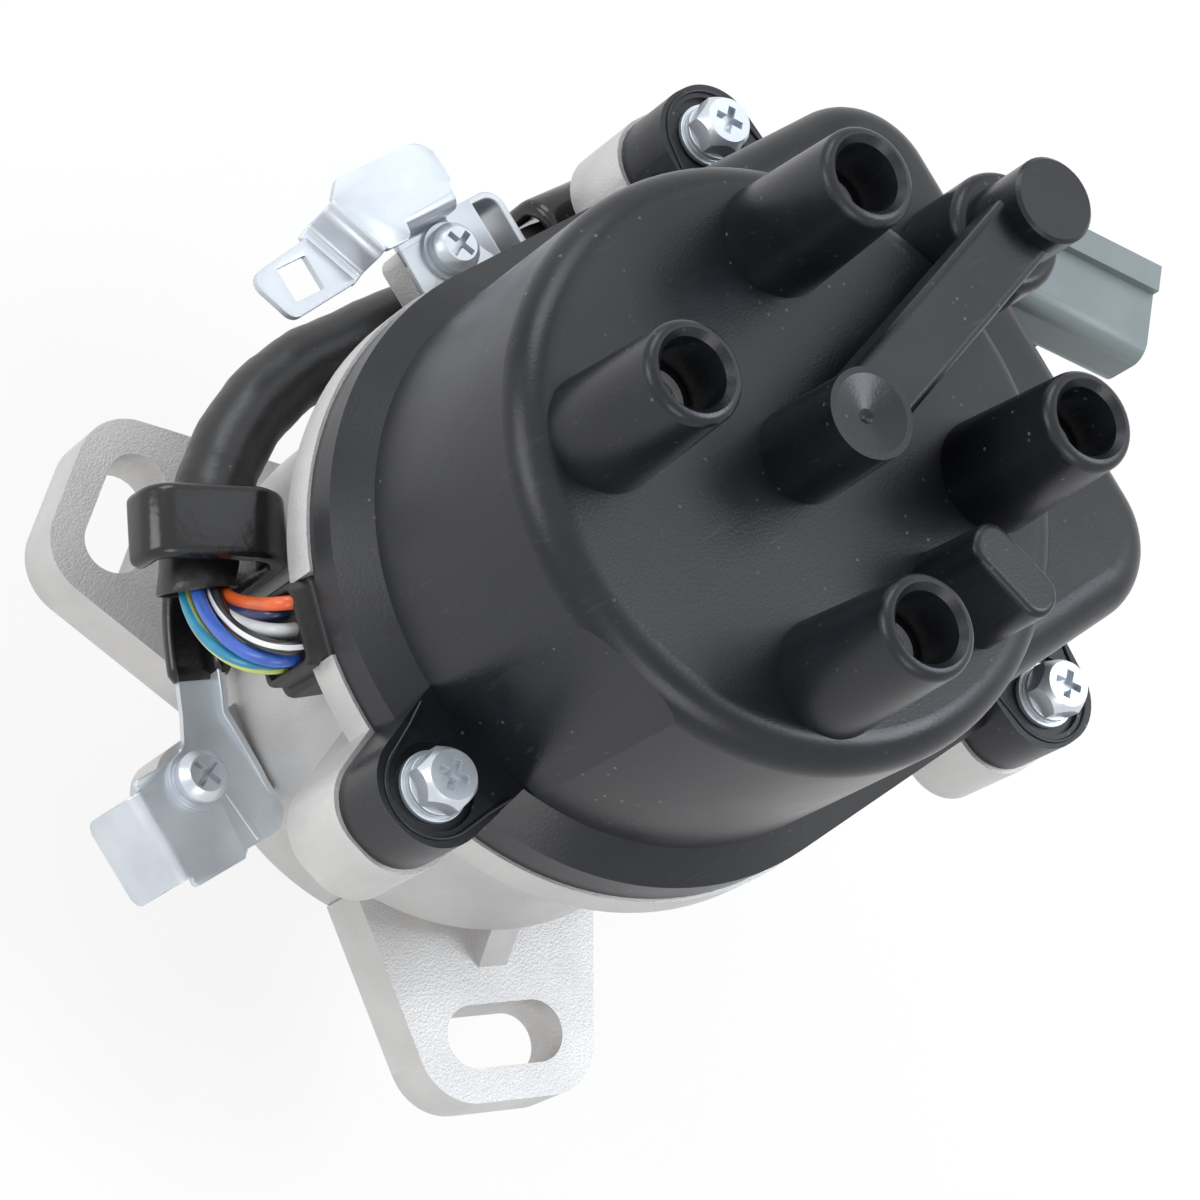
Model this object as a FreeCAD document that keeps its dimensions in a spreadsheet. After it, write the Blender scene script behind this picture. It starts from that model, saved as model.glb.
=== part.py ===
import FreeCAD, Part
import math
import os
import Sketcher

# Four cylinder ignition distributor with its coil, igniter and pickups inside.
# The origin is on the shaft axis in the mounting face, +Z runs up to the cap
# and +X points to the coil chamber. Lengths are millimetres, angles degrees.

DIMENSIONS = {
    # mounting flange and pilot
    "ear_thick": 9.5,
    "ear_stand": 17.5,
    "far_ear_stand": 9.0,
    "slot_width": 9.6,
    "slot_length": 20.0,
    "ear_tip": 10.0,
    "ear_half": 13.5,
    "ear_root_half": 21.0,
    "ear_round": 9.0,
    "first_ear_angle": 6.0,
    "spigot_radius": 16.5,
    "spigot_length": 22.0,
    "ring_drop": 5.0,
    "ring_section": 3.2,
    # housing bowl and coil chamber
    "base_step": 3.0,
    "bowl_radius": 41.0,
    "bowl_wall": 3.0,
    "bowl_start": 16.0,
    "floor_height": 18.0,
    "rim_height": 60.0,
    "rim_thick": 6.0,
    "rim_overhang": 0.5,
    "chamber_reach": 16.0,
    "chamber_corner": 12.0,
    # flange shared by housing and cap
    "flange_lap": 6.5,
    "flange_far_lap": 5.0,
    "flange_corner": 16.0,
    "seal_width": 2.0,
    "seal_height": 2.0,
    "seal_inset": 2.6,
    # cap
    "cap_step": 2.0,
    "cap_wall": 3.0,
    "cap_top": 110.5,
    "cap_flange_thick": 6.0,
    "cap_top_round": 5.0,
    "lobe_top": 103.0,
    "lobe_inset": 0.4,
    "lobe_lap": 1.5,
    "lobe_corner": 13.0,
    "lobe_round": 6.0,
    "lobe_draft": 2.0,
    "panel_depth": 0.9,
    "panel_angle": -162.5,
    # high tension towers
    "tower_circle": 30.85,
    "first_tower_angle": 60.0,
    "tower_top": 133.0,
    "tower_foot": 8.5,
    "tower_rim": 7.1,
    "tower_bore": 4.9,
    "tower_round": 1.5,
    "insert_radius": 4.2,
    "insert_height": 14.0,
    "insert_wall": 1.2,
    "stem_radius": 3.0,
    "stem_bottom": 90.0,
    # centre tower, coil tower, bridge and blind post
    "centre_top": 126.5,
    "centre_radius": 6.45,
    "coil_tower_inset": 8.3,
    "coil_tower_y": 12.4,
    "collar_radius": 9.1,
    "collar_top": 116.0,
    "bridge_width": 10.0,
    "bridge_drop": 3.2,
    "bridge_depth": 6.0,
    "rib_width": 5.0,
    "lead_radius": 1.5,
    "lead_end_radius": 2.5,
    "lead_height": 119.0,
    "post_top": 123.7,
    "post_radius": 3.7,
    "post_x": 10.2,
    "post_y": -27.2,
    "post_spread": 8.2,
    "post_angle": -74.0,
    # cap screws
    "screw_one_stand": 3.5,
    "screw_one_y": -12.4,
    "screw_side_inset": 7.0,
    "screw_side_stand": 0.9,
    "cap_ear_half": 8.0,
    "cap_ear_thick": 11.0,
    "boss_depth": 14.0,
    "cap_screw_radius": 2.5,
    "cap_screw_reach": 20.0,
    "hex_flats": 8.0,
    "hex_height": 4.2,
    "washer_radius": 5.0,
    "washer_thick": 1.0,
    "spring_washer_radius": 4.4,
    "spring_washer_thick": 1.3,
    "screw_clearance": 0.3,
    # shaft and bearings
    "shaft_radius": 6.0,
    "shaft_top": 84.0,
    "run_clearance": 0.05,
    "bush_radius": 8.0,
    "bush_length": 18.0,
    "oil_seal_bottom": 2.0,
    "oil_seal_height": 7.0,
    "bearing_radius": 14.0,
    "bearing_width": 8.0,
    "ball_radius": 2.2,
    "ball_count": 8.0,
    "retainer_thick": 1.5,
    "retainer_radius": 19.0,
    # drive coupling
    "coupling_radius": 14.5,
    "coupling_height": 6.5,
    "end_float": 0.1,
    "thrust_thick": 1.2,
    "dog_drop": 7.0,
    "dog_width": 6.0,
    "dog_offset": 1.2,
    "dog_inner": 7.0,
    "pin_radius": 2.0,
    "spring_ring_width": 2.4,
    "spring_ring_thick": 0.9,
    # reluctor stack and pickups
    "hub_radius": 9.5,
    "hub_height": 12.0,
    "wheel_thick": 5.0,
    "wheel_radius": 20.5,
    "tooth_height": 2.5,
    "tooth_width": 2.8,
    "wide_tooth": 6.0,
    "crank_teeth": 24.0,
    "air_gap": 0.8,
    "core_radius": 2.0,
    "bobbin_radius": 5.0,
    "bobbin_start": 24.6,
    "holder_depth": 9.5,
    "holder_width": 16.0,
    "holder_height": 13.0,
    "wall_gap": 0.3,
    # igniter and coil
    "igniter_width": 24.0,
    "igniter_height": 24.0,
    "igniter_thick": 6.0,
    "igniter_inset": 13.5,
    "sink_thick": 2.0,
    "sink_height": 36.0,
    "sink_foot": 10.0,
    "coil_inset": 23.5,
    "coil_depth": 14.5,
    "coil_width": 46.0,
    "coil_height": 66.0,
    "core_wrap": 2.6,
    "core_bottom": 42.0,
    "core_height": 18.0,
    # rotor, brush and shield
    "shield_thick": 1.2,
    "shield_window_inset": 9.0,
    "rotor_bottom": 70.0,
    "rotor_hub": 10.0,
    "rotor_disc": 17.0,
    "rotor_disc_bottom": 85.0,
    "rotor_disc_thick": 5.0,
    "rotor_arm_width": 12.0,
    "rotor_arm_reach": 22.5,
    "contact_bottom": 95.0,
    "contact_thick": 1.8,
    "contact_width": 8.0,
    "spark_gap": 0.7,
    "brush_radius": 2.5,
    "brush_length": 8.0,
    "brush_travel": 1.5,
    "brush_guide": 5.4,
    "guide_bottom": 100.0,
    "spring_wire": 0.3,
    # harness
    "harness_stand": 10.5,
    "harness_drop": 26.0,
    "harness_turn": 125.0,
    "harness_bend": 40.0,
    "harness_lean": 2.5,
    "sleeve_radius": 5.75,
    "sleeve_wall": 0.9,
    "mouth_angle": 145.6,
    "sleeve_end": 52.0,
    "bundle_inset": 4.0,
    "wire_radius": 0.98,
    "grommet_entry_drop": 6.5,
    "lead_wire_radius": 1.1,
    "grommet_angle": 161.0,
    "grommet_width": 12.0,
    "grommet_collar": 2.0,
    "grommet_drop": 16.0,
    "grommet_stand": 9.0,
    # brackets
    "sheet_thick": 1.2,
    "dip_thick": 0.8,
    "hook_clearance": 0.3,
    "hook_one_angle": 139.5,
    "hook_one_skew": 5.5,
    "hook_one_width": 8.9,
    "hook_one_outer": 10.0,
    "hook_one_inner": 7.6,
    "hook_one_lip": 3.4,
    "lower_boss_stand": 11.0,
    "lower_boss_y": 5.2,
    "lower_boss_top": 19.0,
    "lower_plate_near": 9.6,
    "lower_plate_far": 9.0,
    "lower_plate_low": 13.0,
    "lower_plate_high": 4.4,
    "lower_tab_drop": 12.0,
    "arm_strip_width": 7.1,
    "arm_strip_end": 134.0,
    "arm_strip_start": 170.5,
    "arm_lip": 3.3,
    "dip_line": 158.0,
    "upper_boss_x": 14.4,
    "upper_boss_stand": 12.0,
    "upper_boss_drop": 13.0,
    "upper_boss_thick": 5.5,
    "upper_boss_half": 7.4,
    "upper_plate_left": 7.5,
    "upper_plate_right": 8.5,
    "upper_plate_low": 5.2,
    "upper_plate_high": 6.1,
    "shade_rise": 4.8,
    "shade_left": 17.0,
    "shade_right": 2.9,
    "shade_high": 16.2,
    "shade_round": 8.0,
    "hole_tab_reach": 33.8,
    "square_hole": 5.6,
    "square_hole_x": 25.3,
    "square_hole_y": 6.3,
    "loop_start": 6.2,
    "loop_reach": 14.0,
    "loop_low": 6.4,
    "hook_two_start": 39.0,
    "hook_two_width": 11.0,
    "hook_two_lip": 5.0,
    "bracket_screw_radius": 2.0,
    "bracket_screw_reach": 9.0,
    "pan_radius": 3.9,
    "pan_height": 3.0,
    "bracket_washer_radius": 4.6,
    "bracket_washer_thick": 0.9,
    # connector and its bracket
    "plug_x": 75.4,
    "plug_y": 13.0,
    "plug_angle": -48.0,
    "plug_bottom": 76.0,
    "plug_height": 11.0,
    "plug_width": 17.0,
    "plug_length": 28.0,
    "plug_round": 3.0,
    "plug_rib": 1.4,
    "plug_rib_width": 4.5,
    "socket_depth": 15.0,
    "socket_wall": 1.6,
    "blade_width": 2.3,
    "blade_depth": 8.0,
    "blade_thick": 0.8,
    "blade_pitch": 4.2,
    "arm_width": 12.0,
    "arm_centre": 2.6,
    "arm_foot_bottom": 27.0,
    "arm_shelf": 46.0,
    "arm_riser": 80.0,
    "arm_end": 91.0,
}


class Size:
    """A length or an angle that knows its number and its formula in the sheet."""

    def __init__(self, formula, number):
        self.formula = formula
        self.number = number

    def __add__(self, other):
        other = as_size(other)
        return Size(f"({self.formula} + {other.formula})", self.number + other.number)

    def __sub__(self, other):
        other = as_size(other)
        return Size(f"({self.formula} - {other.formula})", self.number - other.number)

    def __mul__(self, other):
        other = as_size(other)
        return Size(f"({self.formula} * {other.formula})", self.number * other.number)

    def __truediv__(self, other):
        other = as_size(other)
        return Size(f"({self.formula} / {other.formula})", self.number / other.number)

    def __neg__(self):
        return Size(f"(-1 * {self.formula})", -self.number)

    __radd__ = __add__
    __rmul__ = __mul__

    def __rsub__(self, other):
        return as_size(other) - self


def as_size(value):
    return value if isinstance(value, Size) else Size(f"({float(value)})", float(value))


def cosine(angle):
    angle = as_size(angle)
    return Size(f"cos({angle.formula})", math.cos(math.radians(angle.number)))


def sine(angle):
    angle = as_size(angle)
    return Size(f"sin({angle.formula})", math.sin(math.radians(angle.number)))


doc = FreeCAD.newDocument("distributor")
sheet = doc.addObject("Spreadsheet::Sheet", "Sizes")
for row, (alias, number) in enumerate(DIMENSIONS.items(), start=1):
    sheet.set(f"A{row}", str(number))
    sheet.setAlias(f"A{row}", alias)
doc.recompute()


def cell(alias):
    return Size(f"Sizes.{alias}", float(sheet.get(alias)))


# Each of these follows another size, at an allowance of its own in the sheet.
FOLLOWERS = {
    "base_radius": ("bowl_radius", -1, "base_step"),
    "slot_circle": ("base_radius", 1, "ear_stand"),
    "chamber_far": ("bowl_radius", 1, "chamber_reach"),
    "far_slot_circle": ("chamber_far", 1, "far_ear_stand"),
    "flange_radius": ("bowl_radius", 1, "flange_lap"),
    "flange_far": ("chamber_far", 1, "flange_far_lap"),
    "cap_radius": ("bowl_radius", 1, "cap_step"),
    "lobe_half": ("cap_radius", -1, "lobe_inset"),
    "lobe_far": ("chamber_far", 1, "lobe_lap"),
    "coil_tower_x": ("chamber_far", -1, "coil_tower_inset"),
    "screw_one_reach": ("flange_radius", 1, "screw_one_stand"),
    "screw_side_x": ("chamber_far", -1, "screw_side_inset"),
    "screw_side_y": ("flange_radius", 1, "screw_side_stand"),
    "holder_start": ("bowl_radius", -1, "holder_depth"),
    "igniter_reach": ("bowl_radius", -1, "igniter_inset"),
    "coil_near": ("chamber_far", -1, "coil_inset"),
    "shield_window": ("bowl_radius", -1, "shield_window_inset"),
    "harness_circle": ("bowl_radius", 1, "harness_stand"),
    "harness_height": ("rim_height", -1, "harness_drop"),
    "grommet_entry": ("rim_height", -1, "grommet_entry_drop"),
    "grommet_bottom": ("rim_height", -1, "grommet_drop"),
    "grommet_face": ("bowl_radius", 1, "grommet_stand"),
    "lower_boss_reach": ("bowl_radius", 1, "lower_boss_stand"),
    "upper_boss_y": ("bowl_radius", 1, "upper_boss_stand"),
    "upper_boss_top": ("rim_height", -1, "upper_boss_drop"),
}


class Dimensions:
    """The sheet's cells, each by its alias, and the sizes that follow them."""

    def __getattr__(self, alias):
        if alias not in FOLLOWERS:
            return cell(alias)
        leader, sign, allowance = FOLLOWERS[alias]
        return getattr(self, leader) + sign * cell(allowance)


D = Dimensions()
V = FreeCAD.Vector
UP = V(0, 0, 1)
ORIGIN = V(0, 0, 0)
sub_parts = []


def bind(item, **amounts):
    for property_name, amount in amounts.items():
        item.setExpression(property_name, as_size(amount).formula)


def place(item, x=0, y=0, z=0, angle=0, axis=UP):
    """Puts an item at a point, turned about an axis, both by formulas."""
    x, y, z, angle = (as_size(value) for value in (x, y, z, angle))
    item.Placement = FreeCAD.Placement(
        V(x.number, y.number, z.number), FreeCAD.Rotation(axis, angle.number))
    for name, amount in (("x", x), ("y", y), ("z", z)):
        item.setExpression(f"Placement.Base.{name}", amount.formula)
    if angle.number:
        item.setExpression("Placement.Rotation.Angle", angle.formula)
    return item


def keep(item, label):
    """Marks a finished sub-part, whose label names its file."""
    item.Label = label
    sub_parts.append(item)
    return item


def cylinder(name, radius, height, x=0, y=0, z=0, angle=0, axis=UP):
    item = doc.addObject("Part::Cylinder", name)
    bind(item, Radius=radius, Height=height)
    return place(item, x, y, z, angle, axis)


def block(name, low, high, turn=0):
    """A box between two corners, turned about the Z axis through the origin."""
    item = doc.addObject("Part::Box", name)
    x, y, z = (as_size(value) for value in low)
    spans = [as_size(top) - as_size(bottom) for top, bottom in zip(high, low)]
    bind(item, Length=spans[0], Width=spans[1], Height=spans[2])
    if not as_size(turn).number:
        return place(item, x, y, z)
    return place(item, x * cosine(turn) - y * sine(turn),
                 x * sine(turn) + y * cosine(turn), z, turn)


def local_block(name, low, high, x, y, turn):
    """A box given in a frame that stands at x, y and is turned about Z."""
    item = doc.addObject("Part::Box", name)
    spans = [as_size(top) - as_size(bottom) for top, bottom in zip(high, low)]
    bind(item, Length=spans[0], Width=spans[1], Height=spans[2])
    u, v, z = (as_size(value) for value in low)
    return place(item, x + u * cosine(turn) - v * sine(turn),
                 y + u * sine(turn) + v * cosine(turn), z, turn)


def fused(name, *items):
    item = doc.addObject("Part::MultiFuse", name)
    item.Shapes = list(items)
    item.Refine = True
    return item


def without(name, base, *tools):
    """The base with the tools cut away."""
    item = doc.addObject("Part::Cut", name)
    item.Base = base
    item.Tool = tools[0] if len(tools) == 1 else fused(f"{name}Tools", *tools)
    item.Refine = True
    return item


def shared(name, first, second):
    item = doc.addObject("Part::Common", name)
    item.Base = first
    item.Tool = second
    return item


def group(name, *items):
    """Separate solids that share one node."""
    item = doc.addObject("Part::Compound", name)
    item.Links = list(items)
    return item


def profile(body, plane, corners):
    """A closed outline of straight edges, every corner bound to the sheet."""
    sketch = body.newObject("Sketcher::SketchObject", f"{body.Name}Profile{len(body.Group)}")
    origin_plane = [item for item in body.Origin.OriginFeatures if item.Role == plane][0]
    sketch.AttachmentSupport = [(origin_plane, "")]
    sketch.MapMode = "FlatFace"
    corners = [(as_size(x), as_size(y)) for x, y in corners]
    points = [V(x.number, y.number, 0) for x, y in corners]
    edges = [sketch.addGeometry(Part.LineSegment(start, end))
             for start, end in zip(points, points[1:] + points[:1])]
    for edge, following in zip(edges, edges[1:] + edges[:1]):
        sketch.addConstraint(Sketcher.Constraint("Coincident", edge, 2, following, 1))
    for edge, corner in zip(edges, corners):
        for direction, amount in zip(("DistanceX", "DistanceY"), corner):
            number = sketch.addConstraint(
                Sketcher.Constraint(direction, -1, 1, edge, 1, amount.number))
            sketch.setExpression(f"Constraints[{number}]", amount.formula)
    return sketch


def revolved(name, corners):
    """A body turned about Z from an outline in radius and height."""
    body = doc.addObject("PartDesign::Body", name)
    sketch = profile(body, "XZ_Plane", corners)
    turn = body.newObject("PartDesign::Revolution", f"{name}Turn")
    turn.Profile = sketch
    turn.ReferenceAxis = (sketch, ["V_Axis"])
    turn.Angle = 360
    sketch.Visibility = False
    return body


def padded(name, corners, bottom, height, plane="XY_Plane", draft=None):
    """A body pushed out of an outline, from one level up by a height."""
    body = doc.addObject("PartDesign::Body", name)
    sketch = profile(body, plane, corners)
    sketch.setExpression("AttachmentOffset.Base.z", as_size(bottom).formula)
    pad = body.newObject("PartDesign::Pad", f"{name}Pad")
    pad.Profile = sketch
    bind(pad, Length=height)
    if draft is not None:
        bind(pad, TaperAngle=-draft)
    return body


def edges_near(shape, places, direction):
    """Names of the edges that run mostly one way and start or end at a place."""
    found = []
    for number, edge in enumerate(shape.Edges, start=1):
        if len(edge.Vertexes) < 2:
            continue
        first, last = edge.Vertexes[0].Point, edge.Vertexes[-1].Point
        run = last - first
        if run.Length < 0.01 or abs(run.dot(direction)) < 0.9 * run.Length:
            continue
        low = first if first.dot(direction) < last.dot(direction) else last
        flat = low - direction * low.dot(direction)
        if any((flat - V(*spot)).Length < 0.2 for spot in places):
            found.append(f"Edge{number}")
    return found


def edges_at(shape, height):
    """Names of the edges that lie in one level."""
    return [f"Edge{number}" for number, edge in enumerate(shape.Edges, start=1)
            if abs(edge.BoundBox.ZMin - height) < 0.01 and abs(edge.BoundBox.ZMax - height) < 0.01]


def round_edges(body, names, radius, kind="PartDesign::Fillet"):
    """Rounds named edges of a body's last feature."""
    base = body.Tip
    fillet = body.newObject(kind, f"{body.Name}Round{len(body.Group)}")
    fillet.Base = (base, names)
    if kind == "PartDesign::Fillet":
        bind(fillet, Radius=radius)
    else:
        bind(fillet, Size=radius)
    doc.recompute()
    return body


def round_corners(body, corners, radius, direction=UP):
    """Rounds the upright edges that stand at the given corners."""
    doc.recompute()
    places = [(as_size(x).number, as_size(y).number, 0) for x, y in corners]
    return round_edges(body, edges_near(body.Tip.Shape, places, direction), radius)


def round_level(body, height, radius):
    """Rounds every edge that lies at one height."""
    doc.recompute()
    return round_edges(body, edges_at(body.Tip.Shape, as_size(height).number), radius)


def ring(name, inner, outer, bottom, height):
    return revolved(name, [(inner, bottom), (outer, bottom),
                           (outer, bottom + height), (inner, bottom + height)])


def plan_body(name, offset, bottom, height):
    """The plan of the flange, round about the shaft and square about the coil."""
    half = D.flange_radius + offset
    far = D.flange_far + offset
    corners = [(0, -half), (far, -half), (far, half), (0, half)]
    square = padded(f"{name}Square", corners, bottom, height)
    round_corners(square, corners[1:3], D.flange_corner + offset)
    return fused(name, cylinder(f"{name}Round", half, height, z=bottom), square)


def tongue(name, x, y, angle, tip, root, half, root_half, corner, bottom, height):
    """An ear whose sides spread towards its root and whose tip is rounded."""
    corners = [(-as_size(root), -as_size(root_half)), (tip, -half), (tip, half),
               (-as_size(root), root_half)]
    body = padded(name, corners, bottom, height)
    round_corners(body, corners[1:3], corner)
    return place(body, x, y, 0, angle)


def cap_screw_places():
    """Centre and outward direction of each of the three cap screws."""
    return [(-D.screw_one_reach, D.screw_one_y, -166), (D.screw_side_x, D.screw_side_y, 90),
            (D.screw_side_x, -D.screw_side_y, -90)]


def bracket_screw_places():
    return [(-D.lower_boss_reach, D.lower_boss_y, D.lower_boss_top),
            (D.upper_boss_x, D.upper_boss_y, D.upper_boss_top)]


def tower_places():
    angles = [D.first_tower_angle + 90 * step for step in range(4)]
    return [(D.tower_circle * cosine(angle), D.tower_circle * sine(angle)) for angle in angles]


def seal_plan(name, inset, bottom, height):
    """A ring that follows the flange, between two insets from its edge."""
    outer = plan_body(f"{name}Outer", -as_size(inset), bottom, height)
    inner = plan_body(f"{name}Inner", -(as_size(inset) + D.seal_width), bottom, height)
    return without(name, outer, inner)


# Housing

def ear_circle(number):
    """The ear below the coil chamber stands further out, so that its bolt is clear."""
    return D.far_slot_circle if number == 0 else D.slot_circle


def mounting_ear(number):
    angle = D.first_ear_angle + 120 * number
    circle = ear_circle(number)
    root = circle - D.base_radius + 6
    return tongue(f"Ear{number}", circle * cosine(angle), circle * sine(angle), angle,
                  D.ear_tip, root, D.ear_half, D.ear_root_half, D.ear_round, 0,
                  D.ear_thick)


def mounting_slot(number):
    """The slot lets the housing turn on its bolts to set the timing."""
    angle = D.first_ear_angle + 120 * number
    half = D.slot_length / 2
    across = D.slot_width / 2
    corners = [(-across, -half), (across, -half), (across, half), (-across, half)]
    slot = padded(f"Slot{number}", corners, -1, D.ear_thick + 2)
    round_corners(slot, corners, across * 0.98)
    circle = ear_circle(number)
    return place(slot, circle * cosine(angle), circle * sine(angle), 0, angle)


def housing_shell():
    """Pilot, base and bowl in one turned form."""
    groove_top = -D.ring_drop
    groove_bottom = groove_top - D.ring_section - 0.4
    groove_radius = D.spigot_radius - D.ring_section
    lead_in = 1
    return revolved("HousingTurned", [
        (0, -D.spigot_length), (D.spigot_radius - lead_in, -D.spigot_length),
        (D.spigot_radius, lead_in - D.spigot_length), (D.spigot_radius, groove_bottom),
        (groove_radius, groove_bottom), (groove_radius, groove_top),
        (D.spigot_radius, groove_top), (D.spigot_radius, 0), (D.base_radius, 0),
        (D.base_radius, D.ear_thick), (D.bowl_radius, D.bowl_start),
        (D.bowl_radius, D.rim_height - 1), (0, D.rim_height - 1)])


def housing_bore():
    """Seats for the bush, the oil seal and the bearing, and the round chamber."""
    bearing_bottom = D.floor_height - D.bearing_width
    return revolved("HousingBore", [
        (0, -D.spigot_length - 1), (D.bush_radius, -D.spigot_length - 1),
        (D.bush_radius, D.bush_length - D.spigot_length),
        (D.shaft_radius + 0.8, D.bush_length - D.spigot_length),
        (D.shaft_radius + 0.8, D.oil_seal_bottom), (D.bearing_radius, D.oil_seal_bottom),
        (D.bearing_radius, bearing_bottom), (D.bearing_radius, D.floor_height),
        (D.bowl_radius - D.bowl_wall, D.floor_height),
        (D.bowl_radius - D.bowl_wall, D.rim_height + 1), (0, D.rim_height + 1)])


def chamber(name, wall, bottom, top):
    """The square coil chamber beside the bowl, as a solid of its outside or inside."""
    half = D.bowl_radius - wall
    far = D.chamber_far - wall
    corners = [(0, -half), (far, -half), (far, half), (0, half)]
    body = padded(name, corners, bottom, top - bottom)
    return round_corners(body, corners[1:3], D.chamber_corner - wall)


def screw_boss(number, x, y, angle):
    return tongue(f"ScrewBoss{number}", x, y, angle, D.cap_ear_half + D.rim_overhang, 12,
                  D.cap_ear_half + D.rim_overhang, 10.5, D.cap_ear_half,
                  D.rim_height - D.boss_depth, D.boss_depth)


def bracket_boss(number, x, y, top, thick, reach):
    """A pad cast on the wall that carries a bracket."""
    if number == 0:
        return tongue(f"BracketBoss{number}", x, y, 180, 5.5, reach, 5.5, 7, 5.4,
                      top - thick, thick)
    half = D.upper_boss_half
    return tongue(f"BracketBoss{number}", x, y, 90, 4, reach, half, half, 2,
                  top - thick, thick)


def gusset(number):
    """A web that stiffens an ear against the bowl."""
    angle = D.first_ear_angle + 120 * number
    rise = D.bowl_start + 4
    web = padded(f"Gusset{number}", [
        (D.bowl_radius - 4, D.ear_thick - 1), (D.slot_circle - D.slot_width, D.ear_thick - 1),
        (D.bowl_radius - 4, rise)], -2.5, 5, plane="XZ_Plane")
    return place(web, 0, 0, 0, angle)


def housing():
    chamber_bottom = D.bowl_start - 1
    lower_boss = bracket_boss(0, -D.lower_boss_reach, D.lower_boss_y, D.lower_boss_top, 9, 14)
    upper_boss = bracket_boss(1, D.upper_boss_x, D.upper_boss_y, D.upper_boss_top,
                              D.upper_boss_thick, 17)
    rim = plan_body("HousingRim", D.rim_overhang, D.rim_height - D.rim_thick, D.rim_thick)
    bosses = [screw_boss(number, x, y, angle)
              for number, (x, y, angle) in enumerate(cap_screw_places())]
    ears = [mounting_ear(number) for number in range(3)]
    webs = [gusset(number) for number in range(3)]
    solid = fused("HousingSolid", housing_shell(),
                  chamber("ChamberOutside", 0, chamber_bottom, D.rim_height),
                  rim, lower_boss, upper_boss, *bosses, *ears, *webs)
    inside = chamber("ChamberInside", D.bowl_wall, D.floor_height, D.rim_height + 1)
    groove = seal_plan("SealGroove", D.seal_inset, D.rim_height - D.seal_height,
                       D.seal_height + 1)
    slots = [mounting_slot(number) for number in range(3)]
    cap_holes = [cylinder(f"CapHole{number}", D.cap_screw_radius, D.boss_depth + 2, x, y,
                          D.rim_height - D.boss_depth - 1)
                 for number, (x, y, angle) in enumerate(cap_screw_places())]
    bracket_holes = [cylinder(f"BracketHole{number}", D.bracket_screw_radius,
                              D.bracket_screw_reach + 1, x, y, top - D.bracket_screw_reach)
                     for number, (x, y, top) in enumerate(bracket_screw_places())]
    arm_hole = cylinder("ArmHole", D.bracket_screw_radius, D.bowl_wall + 1,
                        D.chamber_far - D.bowl_wall, D.arm_centre, arm_screw_height(),
                        90, V(0, 1, 0))
    notch = block("GrommetNotch",
                  (D.bowl_radius - D.bowl_wall - 2, -D.grommet_width / 2, D.grommet_bottom),
                  (D.flange_radius + 3, D.grommet_width / 2, D.rim_height + 1),
                  D.grommet_angle)
    keep(without("Housing", solid, housing_bore(), inside, groove, notch, arm_hole,
                 *slots, *cap_holes, *bracket_holes), "housing")


def arm_screw_height():
    return D.arm_foot_bottom + D.arm_width / 2


# Bearings and seals

def pilot_ring():
    """Rubber ring squeezed flush with the spigot, as it sits in its bore."""
    centre = D.spigot_radius - D.ring_section / 2
    item = doc.addObject("Part::Torus", "PilotRing")
    bind(item, Radius1=centre, Radius2=D.ring_section / 2)
    keep(place(item, z=-D.ring_drop - D.ring_section / 2 - 0.2), "pilot_o_ring")


def shaft_bush():
    keep(ring("ShaftBush", D.shaft_radius + D.run_clearance, D.bush_radius,
              -D.spigot_length, D.bush_length), "shaft_bush")


def oil_seal():
    """Steel cased rubber seal, hollow above its lip."""
    bottom = D.oil_seal_bottom
    top = bottom + D.oil_seal_height
    lip = D.shaft_radius + D.run_clearance
    wall = 1.6
    keep(revolved("OilSeal", [
        (lip, bottom), (D.bearing_radius, bottom), (D.bearing_radius, top),
        (D.bearing_radius - wall, top), (D.bearing_radius - wall, bottom + wall),
        (lip + wall, bottom + wall), (lip + wall, top - 2), (lip, top - 2)]), "oil_seal")


def bearing():
    """Single row ball bearing, both races grooved for the balls."""
    bottom = D.floor_height - D.bearing_width
    middle = bottom + D.bearing_width / 2
    pitch = (D.bearing_radius + D.shaft_radius) / 2
    shoulder = D.ball_radius * 0.55
    groove = doc.addObject("Part::Torus", "BallTrack")
    bind(groove, Radius1=pitch, Radius2=D.ball_radius + D.run_clearance)
    place(groove, z=middle)
    inner = ring("InnerBlank", D.shaft_radius, pitch - shoulder, bottom, D.bearing_width)
    outer = ring("OuterBlank", pitch + shoulder, D.bearing_radius, bottom, D.bearing_width)
    keep(without("InnerRace", inner, groove), "bearing_inner_race")
    keep(without("OuterRace", outer, groove), "bearing_outer_race")
    balls = []
    for number in range(int(D.ball_count.number)):
        angle = 360 * as_size(number) / D.ball_count
        ball = doc.addObject("Part::Sphere", f"Ball{number}")
        bind(ball, Radius=D.ball_radius)
        balls.append(place(ball, pitch * cosine(angle), pitch * sine(angle), middle))
    keep(group("Balls", *balls), "bearing_balls")


def retainer_screw_places():
    circle = (D.retainer_radius + D.bearing_radius) / 2 + 3
    return [(circle * cosine(angle), circle * sine(angle)) for angle in (45, 225)]


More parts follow.
